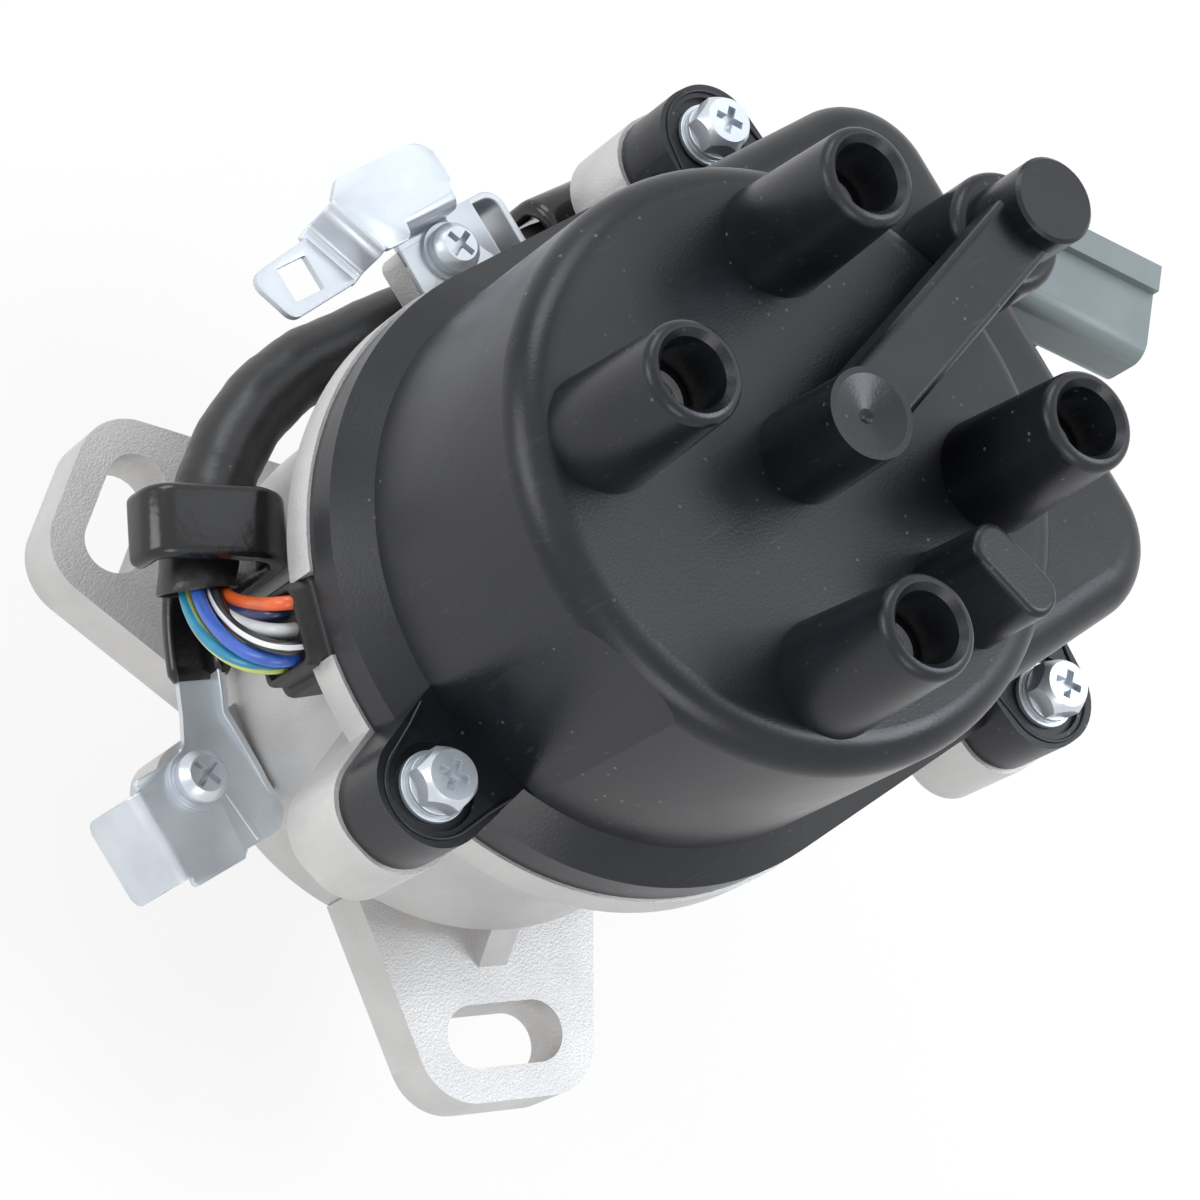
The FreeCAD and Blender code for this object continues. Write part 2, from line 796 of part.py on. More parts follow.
def bearing_retainer():
    """Plate that laps over the outer race, with two screws."""
    inner = D.bearing_radius - 1.5
    disc = ring("RetainerDisc", inner, D.retainer_radius + 4, D.floor_height, D.retainer_thick)
    holes = [cylinder(f"RetainerHole{number}", 1.5, 4, x, y, D.floor_height - 1)
             for number, (x, y) in enumerate(retainer_screw_places())]
    keep(without("Retainer", disc, *holes), "bearing_retainer")
    screws = []
    for number, (x, y) in enumerate(retainer_screw_places()):
        head = cylinder(f"RetainerHead{number}", 2.6, 1.8, x, y,
                        D.floor_height + D.retainer_thick)
        shank = cylinder(f"RetainerShank{number}", 1.5, D.retainer_thick, x, y, D.floor_height)
        screws.append(fused(f"RetainerScrew{number}", head, shank))
    return screws


# Shaft, coupling and reluctors

def coupling_top():
    return -D.spigot_length - D.end_float - D.thrust_thick


def shaft():
    """Plain shaft with a flat for the rotor and a cross hole for the coupling pin."""
    bottom = coupling_top() - D.coupling_height - 1
    blank = revolved("ShaftBlank", [
        (0, bottom), (D.shaft_radius - 1, bottom), (D.shaft_radius, bottom + 1),
        (D.shaft_radius, D.shaft_top - 1), (D.shaft_radius - 1, D.shaft_top), (0, D.shaft_top)])
    flat = block("ShaftFlat", (-D.shaft_radius - 1, -D.shaft_radius, D.rotor_bottom + 3),
                 (1 - D.shaft_radius, D.shaft_radius, D.shaft_top + 1))
    keep(without("Shaft", blank, flat, coupling_pin_solid("ShaftPinHole")), "shaft")


def coupling_pin_solid(name):
    length = 2 * (D.coupling_radius - D.spring_ring_thick) - 0.4
    return cylinder(name, D.pin_radius, length, 0, length / 2,
                    coupling_top() - D.coupling_height / 2, 90, V(1, 0, 0))


def thrust_washer():
    keep(ring("ThrustWasher", D.shaft_radius + D.run_clearance, D.spigot_radius - 4,
              coupling_top(), D.thrust_thick), "thrust_washer")


def drive_coupling():
    """Disc with two offset dogs, so that it meets the camshaft one way round only."""
    top = coupling_top()
    bottom = top - D.coupling_height
    groove = (D.coupling_height - D.spring_ring_width) / 2
    disc = revolved("CouplingDisc", [
        (D.shaft_radius, bottom), (D.coupling_radius, bottom),
        (D.coupling_radius, bottom + groove),
        (D.coupling_radius - D.spring_ring_thick, bottom + groove),
        (D.coupling_radius - D.spring_ring_thick, top - groove),
        (D.coupling_radius, top - groove), (D.coupling_radius, top), (D.shaft_radius, top)])
    dogs = []
    for side in (-1, 1):
        outer = block(f"DogBlank{side + 1}",
                      (-D.coupling_radius, D.dog_offset - D.dog_width / 2, bottom - D.dog_drop),
                      (D.coupling_radius, D.dog_offset + D.dog_width / 2, bottom + 0.5))
        lug = block(f"DogSide{side + 1}",
                    (D.dog_inner if side > 0 else -D.coupling_radius,
                     -D.coupling_radius, bottom - D.dog_drop),
                    (D.coupling_radius if side > 0 else -D.dog_inner,
                     D.coupling_radius, bottom + 0.5))
        dogs.append(shared(f"Dog{side + 1}", outer, lug))
    rim = cylinder("CouplingRim", D.coupling_radius - D.spring_ring_thick, D.dog_drop + 1,
                   z=bottom - D.dog_drop)
    trimmed = shared("DogsTrimmed", fused("Dogs", *dogs), rim)
    keep(without("Coupling", fused("CouplingSolid", disc, trimmed),
                 coupling_pin_solid("CouplingPinHole")), "drive_coupling")
    keep(coupling_pin_solid("CouplingPin"), "coupling_pin")
    keep(ring("PinSpring", D.coupling_radius - D.spring_ring_thick, D.coupling_radius,
              bottom + groove, D.spring_ring_width), "coupling_pin_spring")


def reluctor_wheel(name, label, level, teeth, tooth_width):
    """Toothed wheel with its hub, pressed on the shaft above the one below it."""
    bottom = D.floor_height + D.retainer_thick + 1.5 + level * D.hub_height
    web = (D.hub_height - D.wheel_thick) / 2
    hub = revolved(f"{name}Hub", [
        (D.shaft_radius, bottom), (D.hub_radius, bottom), (D.hub_radius, bottom + web),
        (D.wheel_radius, bottom + web), (D.wheel_radius, bottom + web + D.wheel_thick),
        (D.hub_radius, bottom + web + D.wheel_thick), (D.hub_radius, bottom + D.hub_height),
        (D.shaft_radius, bottom + D.hub_height)])
    half = tooth_width / 2
    tip_half = half * 0.7
    reach = D.wheel_radius + D.tooth_height
    root = D.wheel_radius - 1
    tooth = padded(f"{name}Teeth", [(root, -half), (reach, -tip_half), (reach, tip_half),
                                    (root, half)], bottom + web, D.wheel_thick)
    if teeth > 1:
        pattern = tooth.newObject("PartDesign::PolarPattern", f"{name}Pattern")
        pattern.Originals = [tooth.Group[1]]
        axis = [item for item in tooth.Origin.OriginFeatures if item.Role == "Z_Axis"][0]
        pattern.Axis = (axis, [""])
        pattern.Angle = 360
        pattern.Occurrences = teeth
        tooth.Tip = pattern
    keep(fused(name, hub, tooth), label)


def reluctors():
    """Crank angle wheel below, top dead centre wheel above it, cylinder wheel on top."""
    teeth_of = ring("CrankHub", D.shaft_radius, D.hub_radius, wheel_bottom(0), D.hub_height)
    web = (D.hub_height - D.wheel_thick) / 2
    reach = D.wheel_radius + D.tooth_height
    disc = doc.addObject("PartDesign::Body", "CrankDisc")
    count = int(D.crank_teeth.number)
    sketch = profile(disc, "XY_Plane", gear_outline(count, D.wheel_radius, reach, D.tooth_width))
    sketch.setExpression("AttachmentOffset.Base.z", (wheel_bottom(0) + web).formula)
    pad = disc.newObject("PartDesign::Pad", "CrankDiscPad")
    pad.Profile = sketch
    bind(pad, Length=D.wheel_thick)
    bore = cylinder("CrankBore", D.shaft_radius, D.hub_height + 2, z=wheel_bottom(0) - 1)
    keep(without("CrankReluctor", fused("CrankSolid", teeth_of, disc), bore),
         "crank_angle_reluctor")
    reluctor_wheel("TopReluctor", "top_centre_reluctor", 1, 4, D.wide_tooth)
    reluctor_wheel("CylinderReluctor", "cylinder_reluctor", 2, 1, D.wide_tooth)


def wheel_bottom(level):
    return D.floor_height + D.retainer_thick + 1.5 + level * D.hub_height


def gear_outline(count, root, reach, width):
    """Corners of a wheel with straight flanked teeth."""
    corners = []
    for number in range(count):
        middle = as_size(360.0 * number / count)
        half_root = width / root * (90 / math.pi)
        half_tip = width * 0.7 / reach * (90 / math.pi)
        for angle, radius in ((middle - half_root, root), (middle - half_tip, reach),
                              (middle + half_tip, reach), (middle + half_root, root)):
            corners.append((radius * cosine(angle), radius * sine(angle)))
    return corners


# Pickups, igniter and coil

def pickup(name, label, angle, level):
    """Wound bobbin on a steel core, in a holder that stands on the chamber wall."""
    middle = wheel_bottom(level) + D.hub_height / 2
    tip = D.wheel_radius + D.tooth_height + D.air_gap
    wall = D.bowl_radius - D.bowl_wall - D.wall_gap
    centre = V(0, 1, 0)
    bobbin = cylinder(f"{name}Bobbin", D.bobbin_radius, D.holder_start - D.bobbin_start + 1,
                      D.bobbin_start * cosine(angle), D.bobbin_start * sine(angle), middle,
                      90, centre if angle in (0, 180) else V(-1 if angle == 90 else 1, 0, 0))
    slab = block(f"{name}Slab", (D.holder_start, -D.holder_width / 2, middle - D.holder_height / 2),
                 (wall, D.holder_width / 2, middle + D.holder_height / 2), angle)
    limit = cylinder(f"{name}Limit", wall, D.holder_height, z=middle - D.holder_height / 2)
    holder = shared(f"{name}Holder", slab, limit)
    core_length = wall - tip - 1
    direction = V(-1 if angle == 90 else 1, 0, 0)
    hole = cylinder(f"{name}CoreHole", D.core_radius, core_length, tip * cosine(angle),
                    tip * sine(angle), middle, 90, direction)
    core = cylinder(f"{name}Core", D.core_radius, core_length, tip * cosine(angle),
                    tip * sine(angle), middle, 90, direction)
    keep(without(name, fused(f"{name}Body", bobbin, holder), hole), label)
    return core


def pickups():
    cores = [pickup("CrankPickup", "crank_angle_pickup", 90, 0),
             pickup("TopPickup", "top_centre_pickup", 270, 1),
             pickup("CylinderPickup", "cylinder_pickup", 90, 2)]
    keep(group("PickupCores", *cores), "pickup_cores")


def igniter():
    """Switching module screwed to an aluminium angle that stands on the floor."""
    back = -D.igniter_reach - D.igniter_thick
    half = D.igniter_width / 2
    bottom = D.floor_height
    plate = block("SinkPlate", (back - D.sink_thick, -half, bottom),
                  (back, half, bottom + D.sink_height))
    foot = block("SinkFoot", (back - D.sink_thick, -half, bottom),
                 (back + D.sink_foot, half, bottom + D.sink_thick))
    module_bottom = bottom + D.sink_height - D.igniter_height
    screws = []
    holes = []
    for number, side in enumerate((-1, 1)):
        y = side * (half - 4)
        z = module_bottom + D.igniter_height / 2
        reach = D.igniter_thick + D.sink_thick
        holes.append(cylinder(f"IgniterHole{number}", 1.5, reach, back - D.sink_thick, y, z,
                              90, V(0, 1, 0)))
        head = cylinder(f"IgniterHead{number}", 2.8, 1.8, -D.igniter_reach, y, z, 90, V(0, 1, 0))
        shank = cylinder(f"IgniterShank{number}", 1.5, reach, back - D.sink_thick, y, z,
                         90, V(0, 1, 0))
        screws.append(fused(f"IgniterScrew{number}", head, shank))
    keep(without("IgniterSink", fused("SinkSolid", plate, foot), *holes), "igniter_heat_sink")
    module = block("ModuleBlock", (back, -half, module_bottom),
                   (-D.igniter_reach, half, module_bottom + D.igniter_height))
    keep(without("IgniterModule", module, *holes), "igniter_module")
    return screws


def ignition_coil():
    """Epoxy cast windings inside a closed frame of steel laminations."""
    near = D.coil_near + D.core_wrap
    far = near + D.coil_depth
    low = D.coil_tower_y - D.coil_width / 2 - 8
    high = low + D.coil_width
    bottom = D.floor_height
    body = block("CoilBlock", (near, low, bottom), (far, high, bottom + D.coil_height))
    terminal = cylinder("CoilTerminal", D.stem_radius, lead_bottom() - bottom - D.coil_height + 1,
                        D.coil_tower_x, D.coil_tower_y, bottom + D.coil_height - 1)
    keep(fused("CoilBody", body, terminal), "ignition_coil")
    frame = block("FrameBlock", (D.coil_near, low - D.core_wrap, D.core_bottom),
                  (far + D.core_wrap, high + D.core_wrap, D.core_bottom + D.core_height))
    window = block("FrameWindow", (near, low, D.core_bottom - 1),
                   (far, high, D.core_bottom + D.core_height + 1))
    keep(without("CoilFrame", frame, window), "coil_laminations")


# Cap

def lead_bottom():
    """Level where the coil's own terminal meets the lead moulded in the cap."""
    return D.lead_height - D.lead_end_radius - 2


def bridge_angle():
    return math.degrees(math.atan2(D.coil_tower_y.number, D.coil_tower_x.number))


def bridge_turn():
    x, y = D.coil_tower_x, D.coil_tower_y
    return Size(f"atan({y.formula} / {x.formula})", bridge_angle())


def bridge_length():
    x, y = D.coil_tower_x, D.coil_tower_y
    return Size(f"sqrt({x.formula} ^ 2 + {y.formula} ^ 2)", math.hypot(x.number, y.number))


def lead_solid(name, extra=0):
    """Conductor from over the brush, along the bridge and down to the coil."""
    low = lead_bottom()
    centre = cylinder(f"{name}Centre", D.lead_end_radius + extra, D.lead_height - low + 1,
                      z=low)
    coil_end = cylinder(f"{name}Coil", D.stem_radius + extra, D.lead_height - low + 1,
                        D.coil_tower_x, D.coil_tower_y, low)
    rod = cylinder(f"{name}Rod", D.lead_radius + extra, bridge_length(), 0, 0, D.lead_height - 1,
                   90, V(-math.sin(math.radians(bridge_angle())),
                         math.cos(math.radians(bridge_angle())), 0))
    return fused(name, centre, coil_end, rod)


def plug_tower(number, x, y):
    """Outside of a high tension tower, coned and rounded at its rim."""
    foot = D.cap_top - D.cap_wall
    body = revolved(f"Tower{number}", [(0, foot), (D.tower_foot, foot),
                                       (D.tower_rim, D.tower_top), (0, D.tower_top)])
    round_level(body, D.tower_top, D.tower_round)
    return place(body, x, y)


def tower_bore(number, x, y):
    bottom = bore_floor()
    step = bottom + D.insert_height
    return revolved(f"TowerBore{number}", [
        (0, bottom), (D.insert_radius, bottom), (D.insert_radius, step),
        (D.tower_bore, step), (D.tower_bore, D.tower_top - 1),
        (D.tower_bore + 1, D.tower_top + 0.2), (0, D.tower_top + 0.2)]), x, y


def bore_floor():
    return D.cap_top - 1.5


def centre_tower():
    """Closed tower with a shallow dished top and a moulding dimple in it."""
    foot = D.cap_top - D.cap_wall
    body = revolved("CentreTower", [
        (0, foot), (D.centre_radius + 0.6, foot), (D.centre_radius, D.centre_top),
        (D.centre_radius - 0.9, D.centre_top), (1.1, D.centre_top - 1.3),
        (0, D.centre_top - 2)])
    return body


def coil_tower():
    """Flat topped tower with a wider collar below the bridge."""
    foot = D.lobe_top - D.cap_wall - 8
    stem = revolved("CoilTowerStem", [(0, foot), (D.centre_radius, foot),
                                      (D.centre_radius, D.centre_top - 0.5),
                                      (D.centre_radius - 0.5, D.centre_top), (0, D.centre_top)])
    collar = revolved("CoilCollar", [(0, foot), (D.collar_radius, foot),
                                     (D.collar_radius, D.collar_top), (0, D.collar_top)])
    round_level(collar, D.collar_top, 1.8)
    x, y = D.coil_tower_x, D.coil_tower_y
    return [place(stem, x, y), place(collar, x, y)]


def bridge():
    """Bar from the centre tower to the coil tower, with a web down to the cap."""
    length = bridge_length()
    top = D.centre_top - D.bridge_drop
    half = D.bridge_width / 2
    bar = padded("BridgeBar", [(0, -half), (length, -half), (length, half), (0, half)],
                 top - D.bridge_depth, D.bridge_depth)
    doc.recompute()
    names = [f"Edge{number}" for number, edge in enumerate(bar.Tip.Shape.Edges, start=1)
             if edge.BoundBox.ZMin > top.number - 0.01 and edge.BoundBox.XLength > 20]
    round_edges(bar, names, 1.2)
    rib = block("BridgeRib", (0, -D.rib_width / 2, D.lobe_top - 2),
                (length, D.rib_width / 2, top - 1), bridge_turn())
    return [place(bar, angle=bridge_turn()), rib]


def blind_post():
    """Oblong closed post beside a tower."""
    half = D.post_spread / 2 + D.post_radius
    across = D.post_radius
    corners = [(-half, -across), (half, -across), (half, across), (-half, across)]
    foot = D.cap_top - 1
    body = padded("BlindPost", corners, foot, D.post_top - foot, draft=1.5)
    doc.recompute()
    upright = [f"Edge{number}" for number, edge in enumerate(body.Tip.Shape.Edges, start=1)
               if edge.BoundBox.ZLength > 1]
    round_edges(body, upright, across * 0.85)
    round_level(body, D.post_top, 1.0)
    return place(body, D.post_x, D.post_y, 0, D.post_angle)


def cap_flange():
    """Flange with an upright band and a sloping shoulder above it."""
    half = D.flange_radius
    far = D.flange_far
    slope = half - D.cap_radius
    band_top = D.rim_height + D.cap_flange_thick
    shoulder = shoulder_top()
    corners = [(0, -half), (far, -half), (far, half), (0, half)]
    square = padded("FlangeSquare", corners, D.rim_height, shoulder - D.rim_height)
    round_corners(square, corners[1:3], D.flange_corner)
    names = [name for name in edges_at(square.Tip.Shape, shoulder.number)
             if square.Tip.Shape.getElement(name).BoundBox.XMax > 1]
    round_edges(square, names, slope, "PartDesign::Chamfer")
    turned = revolved("FlangeRound", [(0, D.rim_height), (half, D.rim_height),
                                      (half, band_top), (D.cap_radius, shoulder),
                                      (0, shoulder)])
    return [square, turned]


def shoulder_top():
    """Level where the sloping shoulder meets the cap's wall."""
    return D.rim_height + D.cap_flange_thick + D.flange_radius - D.cap_radius


def cap_lobe(name, wall, bottom, top, round_top):
    """The lower square part of the cap over the coil, drafted like a moulding."""
    half = D.lobe_half - wall
    far = D.lobe_far - wall
    corners = [(0, -half), (far, -half), (far, half), (0, half)]
    body = padded(name, corners, bottom, top - bottom, draft=D.lobe_draft)
    round_corners(body, corners[1:3], D.lobe_corner - wall)
    if round_top is not None:
        doc.recompute()
        names = [f"Edge{number}" for number, edge in enumerate(body.Tip.Shape.Edges, start=1)
                 if edge.BoundBox.ZMin > top.number - 0.01 and edge.BoundBox.XMax > 1]
        round_edges(body, names, round_top)
    return body


def cap_ear(number, x, y, angle):
    return tongue(f"CapEar{number}", x, y, angle, D.cap_ear_half, 11, D.cap_ear_half,
                  D.cap_ear_half + 1.5, D.cap_ear_half * 0.98, D.rim_height, D.cap_ear_thick)


def distributor_cap():
    dome = revolved("CapDome", [(0, D.rim_height), (D.cap_radius, D.rim_height),
                                (D.cap_radius, D.cap_top), (0, D.cap_top)])
    round_level(dome, D.cap_top, D.cap_top_round)
    lobe = cap_lobe("CapLobe", 0, D.rim_height + 4, D.lobe_top, D.lobe_round)
    towers = [plug_tower(number, x, y) for number, (x, y) in enumerate(tower_places())]
    ears = [cap_ear(number, x, y, angle)
            for number, (x, y, angle) in enumerate(cap_screw_places())]
    guide = cylinder("BrushGuide", D.brush_guide, D.cap_top - D.guide_bottom - 1,
                     z=D.guide_bottom)
    outside = fused("CapOutside", dome, lobe, *cap_flange(), *towers, *ears,
                    centre_tower(), *coil_tower(), *bridge(), blind_post())
    inner_radius = D.cap_radius - D.cap_wall
    ceiling = D.cap_top - D.cap_wall
    cavity = fused("CapCavity",
                   cylinder("CavityRound", inner_radius, ceiling - D.rim_height + 1,
                            z=D.rim_height - 1),
                   cap_lobe("CavityLobe", D.cap_wall, D.rim_height - 1,
                            D.lobe_top - D.cap_wall, None))
    hollow = without("CapHollow", outside, cavity)
    boss_bottom = D.contact_bottom + D.contact_thick + 1
    bosses = [cylinder(f"StemBoss{number}", D.stem_radius + 1.6, ceiling - boss_bottom + 1,
                       x, y, boss_bottom)
              for number, (x, y) in enumerate(tower_places())]
    coil_well = cylinder("CoilWell", D.stem_radius + 2, D.lobe_top - 90,
                         D.coil_tower_x, D.coil_tower_y, 91)
    carried = fused("CapCarried", hollow, guide, coil_well, *bosses)
    bores = []
    for number, (x, y) in enumerate(tower_places()):
        bore, bore_x, bore_y = tower_bore(number, x, y)
        bores.append(place(bore, bore_x, bore_y))
        bores.append(cylinder(f"StemHole{number}", D.stem_radius, 40, x, y, D.stem_bottom - 1))
    holes = []
    for number, (x, y, angle) in enumerate(cap_screw_places()):
        holes.append(cylinder(f"CapScrewHole{number}", D.cap_screw_radius + D.screw_clearance,
                              D.cap_ear_thick + 2, x, y, D.rim_height - 1))
        holes.append(cylinder(f"WasherSeat{number}", D.washer_radius + 1.2, 10, x, y,
                              washer_level()))
    brush_bore = cylinder("BrushBore", D.brush_radius + D.run_clearance,
                          lead_bottom() - D.guide_bottom + 2, z=D.guide_bottom - 1)
    coil_bore = cylinder("CoilBore", D.stem_radius, lead_bottom() - 88,
                         D.coil_tower_x, D.coil_tower_y, 89)
    panel = block("CapPanel", (D.cap_radius - D.panel_depth, -20, shoulder_top()),
                  (D.cap_radius + 5, 20, D.cap_top + 1), D.panel_angle)
    keep(without("DistributorCap", carried, brush_bore, coil_bore, panel,
                 lead_solid("LeadHole"), *bores, *holes), "distributor_cap")
    keep(lead_solid("CoilLead"), "coil_to_brush_lead")


def washer_level():
    """Level of the flat on each cap ear under the washers."""
    return D.rim_height + D.cap_ear_thick - 0.8


def cap_seal():
    keep(seal_plan("CapSeal", D.seal_inset, D.rim_height - D.seal_height, D.seal_height),
         "cap_seal")


def plug_terminals():
    """Cup shaped inserts, one in each tower, with a stem down to the rotor's path."""
    inserts = []
    radius = D.insert_radius
    for number, (x, y) in enumerate(tower_places()):
        body = revolved(f"Insert{number}", [
            (0, D.stem_bottom), (D.stem_radius, D.stem_bottom), (D.stem_radius, bore_floor()),
            (radius, bore_floor()), (radius, bore_floor() + D.insert_height),
            (radius - D.insert_wall, bore_floor() + D.insert_height),
            (radius - D.insert_wall, bore_floor() + 2), (0, bore_floor() + 2)])
        inserts.append(place(body, x, y))
    keep(group("PlugTerminals", *inserts), "plug_terminals")


def washered_screws():
    """Cap screws with a spring washer and a flat washer each."""
    screws, springs, washers = [], [], []
    washer_bottom = washer_level()
    spring_bottom = washer_bottom + D.washer_thick
    head_bottom = spring_bottom + D.spring_washer_thick
    for number, (x, y, angle) in enumerate(cap_screw_places()):
        shank = cylinder(f"CapShank{number}", D.cap_screw_radius, D.cap_screw_reach, x, y,
                         head_bottom - D.cap_screw_reach)
        head = doc.addObject("Part::Prism", f"CapHead{number}")
        head.Polygon = 6
        bind(head, Circumradius=D.hex_flats / math.sqrt(3), Height=D.hex_height)
        place(head, x, y, head_bottom, 15 + 10 * number)
        crown = doc.addObject("Part::Cone", f"CapCrown{number}")
        bind(crown, Radius1=D.hex_flats * 0.74, Radius2=D.hex_flats * 0.44,
             Height=D.hex_height)
        place(crown, x, y, head_bottom)
        slots = [block(f"CapCross{number}{way}", (-6, -0.6, 0), (6, 0.6, 2))
                 for way in range(2)]
        for way, slot in enumerate(slots):
            slot.setExpression("Length", "Sizes.hex_flats * 0.56")
            turn = 40 + 90 * way
            place(slot, x - D.hex_flats * 0.28 * cosine(turn) + 0.6 * sine(turn),
                  y - D.hex_flats * 0.28 * sine(turn) - 0.6 * cosine(turn),
                  head_bottom + D.hex_height - 1.2, turn)
        formed = without(f"CapHeadFormed{number}", shared(f"CapHeadCut{number}", head, crown),
                         *slots)
        screws.append(fused(f"CapScrew{number}", shank, formed))
        bore = D.cap_screw_radius + D.screw_clearance
        washer = ring(f"FlatWasher{number}", bore, D.washer_radius, washer_bottom,
                      D.washer_thick)
        washers.append(place(washer, x, y))
        spring = ring(f"SpringWasher{number}", bore, D.spring_washer_radius, spring_bottom,
                      D.spring_washer_thick)
        slit = block(f"SpringSlit{number}", (2, -0.3, spring_bottom - 1),
                     (6, 0.3, spring_bottom + D.spring_washer_thick + 1))
        springs.append(place(without(f"SpringSplit{number}", spring, slit), x, y))
    keep(group("CapScrews", *screws), "cap_screws")
    keep(group("CapWashers", *washers, *springs), "cap_washers")


# Rotor, brush and shield

def dust_shield():
    """Disc between the pickups and the rotor, open beside the coil."""
    disc = ring("ShieldDisc", D.shaft_radius + 3, D.cap_radius - D.cap_wall - 0.4,
                D.rim_height, D.shield_thick)
    window = block("ShieldWindow", (D.shield_window, -D.chamber_far, D.rim_height - 1),
                   (D.chamber_far, D.chamber_far, D.rim_height + D.shield_thick + 1))
    keep(without("DustShield", disc, window), "dust_shield")


def rotor_tip():
    return D.tower_circle - D.stem_radius - D.spark_gap


def rotor_screw_solid(name):
    """Screw that clamps the rotor on the shaft's flat."""
    z = D.rotor_bottom + 8
    return cylinder(name, 1.5, D.rotor_hub - D.shaft_radius + 1, -D.rotor_hub, 0, z,
                    90, V(0, 1, 0))


def rotor():
    """Moulded rotor with a metal blade that sweeps past the terminals."""
    hub_top = D.rotor_disc_bottom + D.rotor_disc_thick
    arm_bottom = hub_top - 1
    hub = revolved("RotorHub", [
        (0, D.rotor_bottom), (D.rotor_hub, D.rotor_bottom),
        (D.rotor_hub, D.rotor_disc_bottom - 3), (D.rotor_disc, D.rotor_disc_bottom),
        (D.rotor_disc, hub_top), (0, hub_top)])
    half = D.rotor_arm_width / 2
    arm = padded("RotorArm", [(-12, -half), (D.rotor_arm_reach, -half + 1.5),
                              (D.rotor_arm_reach, half - 1.5), (-12, half)],
                 arm_bottom, D.contact_bottom - arm_bottom)
    bore = cylinder("RotorBore", D.shaft_radius, D.shaft_top - D.rotor_bottom + 1,
                    z=D.rotor_bottom - 1)
    flat = block("RotorKey", (-D.shaft_radius - 0.5, -D.shaft_radius, D.rotor_bottom + 3),
                 (1 - D.shaft_radius, D.shaft_radius, D.shaft_top + 1))
    bored = without("RotorBored", bore, flat)
    keep(without("Rotor", fused("RotorSolid", hub, arm), bored,
                 rotor_screw_solid("RotorScrewHole")), "rotor")
    keep(rotor_screw_solid("RotorScrew"), "rotor_screw")
    half_blade = D.contact_width / 2
    blade = padded("RotorBlade", [(-half_blade, -half_blade), (rotor_tip(), -half_blade + 1),
                                  (rotor_tip(), half_blade - 1), (-half_blade, half_blade)],
                   D.contact_bottom, D.contact_thick)
    keep(blade, "rotor_blade")


def brush_bottom():
    return D.contact_bottom + D.contact_thick + D.run_clearance


def carbon_brush():
    keep(cylinder("CarbonBrush", D.brush_radius, D.brush_length, z=brush_bottom()),
         "carbon_brush")
    bottom = brush_bottom() + D.brush_length
    height = lead_bottom() - bottom
    helix = doc.addObject("Part::Helix", "SpringHelix")
    turns = 5
    bind(helix, Radius=D.brush_radius - 2 * D.spring_wire,
         Height=height - 2 * D.spring_wire, Pitch=(height - 2 * D.spring_wire) / turns)
    place(helix, z=bottom + D.spring_wire)
    section = doc.addObject("Part::Circle", "SpringSection")
    bind(section, Radius=D.spring_wire)
    place(section, D.brush_radius - 2 * D.spring_wire, 0, bottom + D.spring_wire, 90, V(1, 0, 0))
    coil = doc.addObject("Part::Sweep", "BrushSpring")
    coil.Sections = [section]
    coil.Spine = (helix, [])
    coil.Solid = True
    coil.Frenet = True
    keep(coil, "brush_spring")


# Harness

def bent_path(points):
    """Straight runs joined by tangent arcs as large as the runs allow."""
    points = [V(*point) for point in points]
    edges = []
    start = points[0]
    radii = []
    for before, corner, after in zip(points, points[1:], points[2:]):
        back = before - corner
        ahead = after - corner
        reach = 0.45 * min(back.Length, ahead.Length)
        half_turn = (math.pi - back.getAngle(ahead)) / 2
        radii.append(reach / math.tan(half_turn))
        first = corner + back.normalize() * reach
        last = corner + ahead.normalize() * reach
        inward = (first + last) / 2 - corner
        depth = radii[-1] / math.cos(half_turn) - radii[-1]
        edges.append(Part.LineSegment(start, first).toShape())
        edges.append(Part.Arc(first, corner + inward.normalize() * depth, last).toShape())
        start = last
    edges.append(Part.LineSegment(start, points[-1]).toShape())
    return Part.Wire(edges), radii


def swept(wire, radius):
    """A round solid along a wire."""
    edge = wire.Edges[0]
    direction = edge.tangentAt(edge.FirstParameter)
    section = Part.Wire(Part.makeCircle(radius, edge.valueAt(edge.FirstParameter), direction))
    return wire.makePipeShell([section], True, False)


def shape_part(name, shape, label):
    """A sub-part whose form only Part's own functions can make."""
    item = doc.addObject("Part::Feature", name)
    item.Shape = shape
    return keep(item, label)


def tube(name, label, points, radius, ends):
    """A cord whose ends are cut flush with the solids they stand on."""
    wire, radii = bent_path(points)
    solid = swept(wire, radius).cut(ends)
    print(label, "smallest radius", round(min(radii), 1), "length", round(wire.Length, 1),
          "volume over section times length",
          round(solid.Volume / (math.pi * radius ** 2 * wire.Length), 3))
    shape_part(name, solid, label)
    return wire.Length


def harness_line():
    """Start and direction of the straight run past the coil chamber."""
    turn = math.radians(D.harness_turn.number)
    apart = D.harness_circle.number - D.harness_bend.number
    centre = V(apart * math.cos(turn), apart * math.sin(turn), D.harness_height.number)
    last = math.radians(90 - D.harness_lean.number)
    start = centre + V(math.cos(last), math.sin(last), 0) * D.harness_bend.number
    return centre, start, V(math.sin(last), -math.cos(last), 0)


def harness_point(x):
    """Point of the straight run at a distance along X."""
    centre, start, ahead = harness_line()
    return start + ahead * ((x - start.x) / ahead.x)


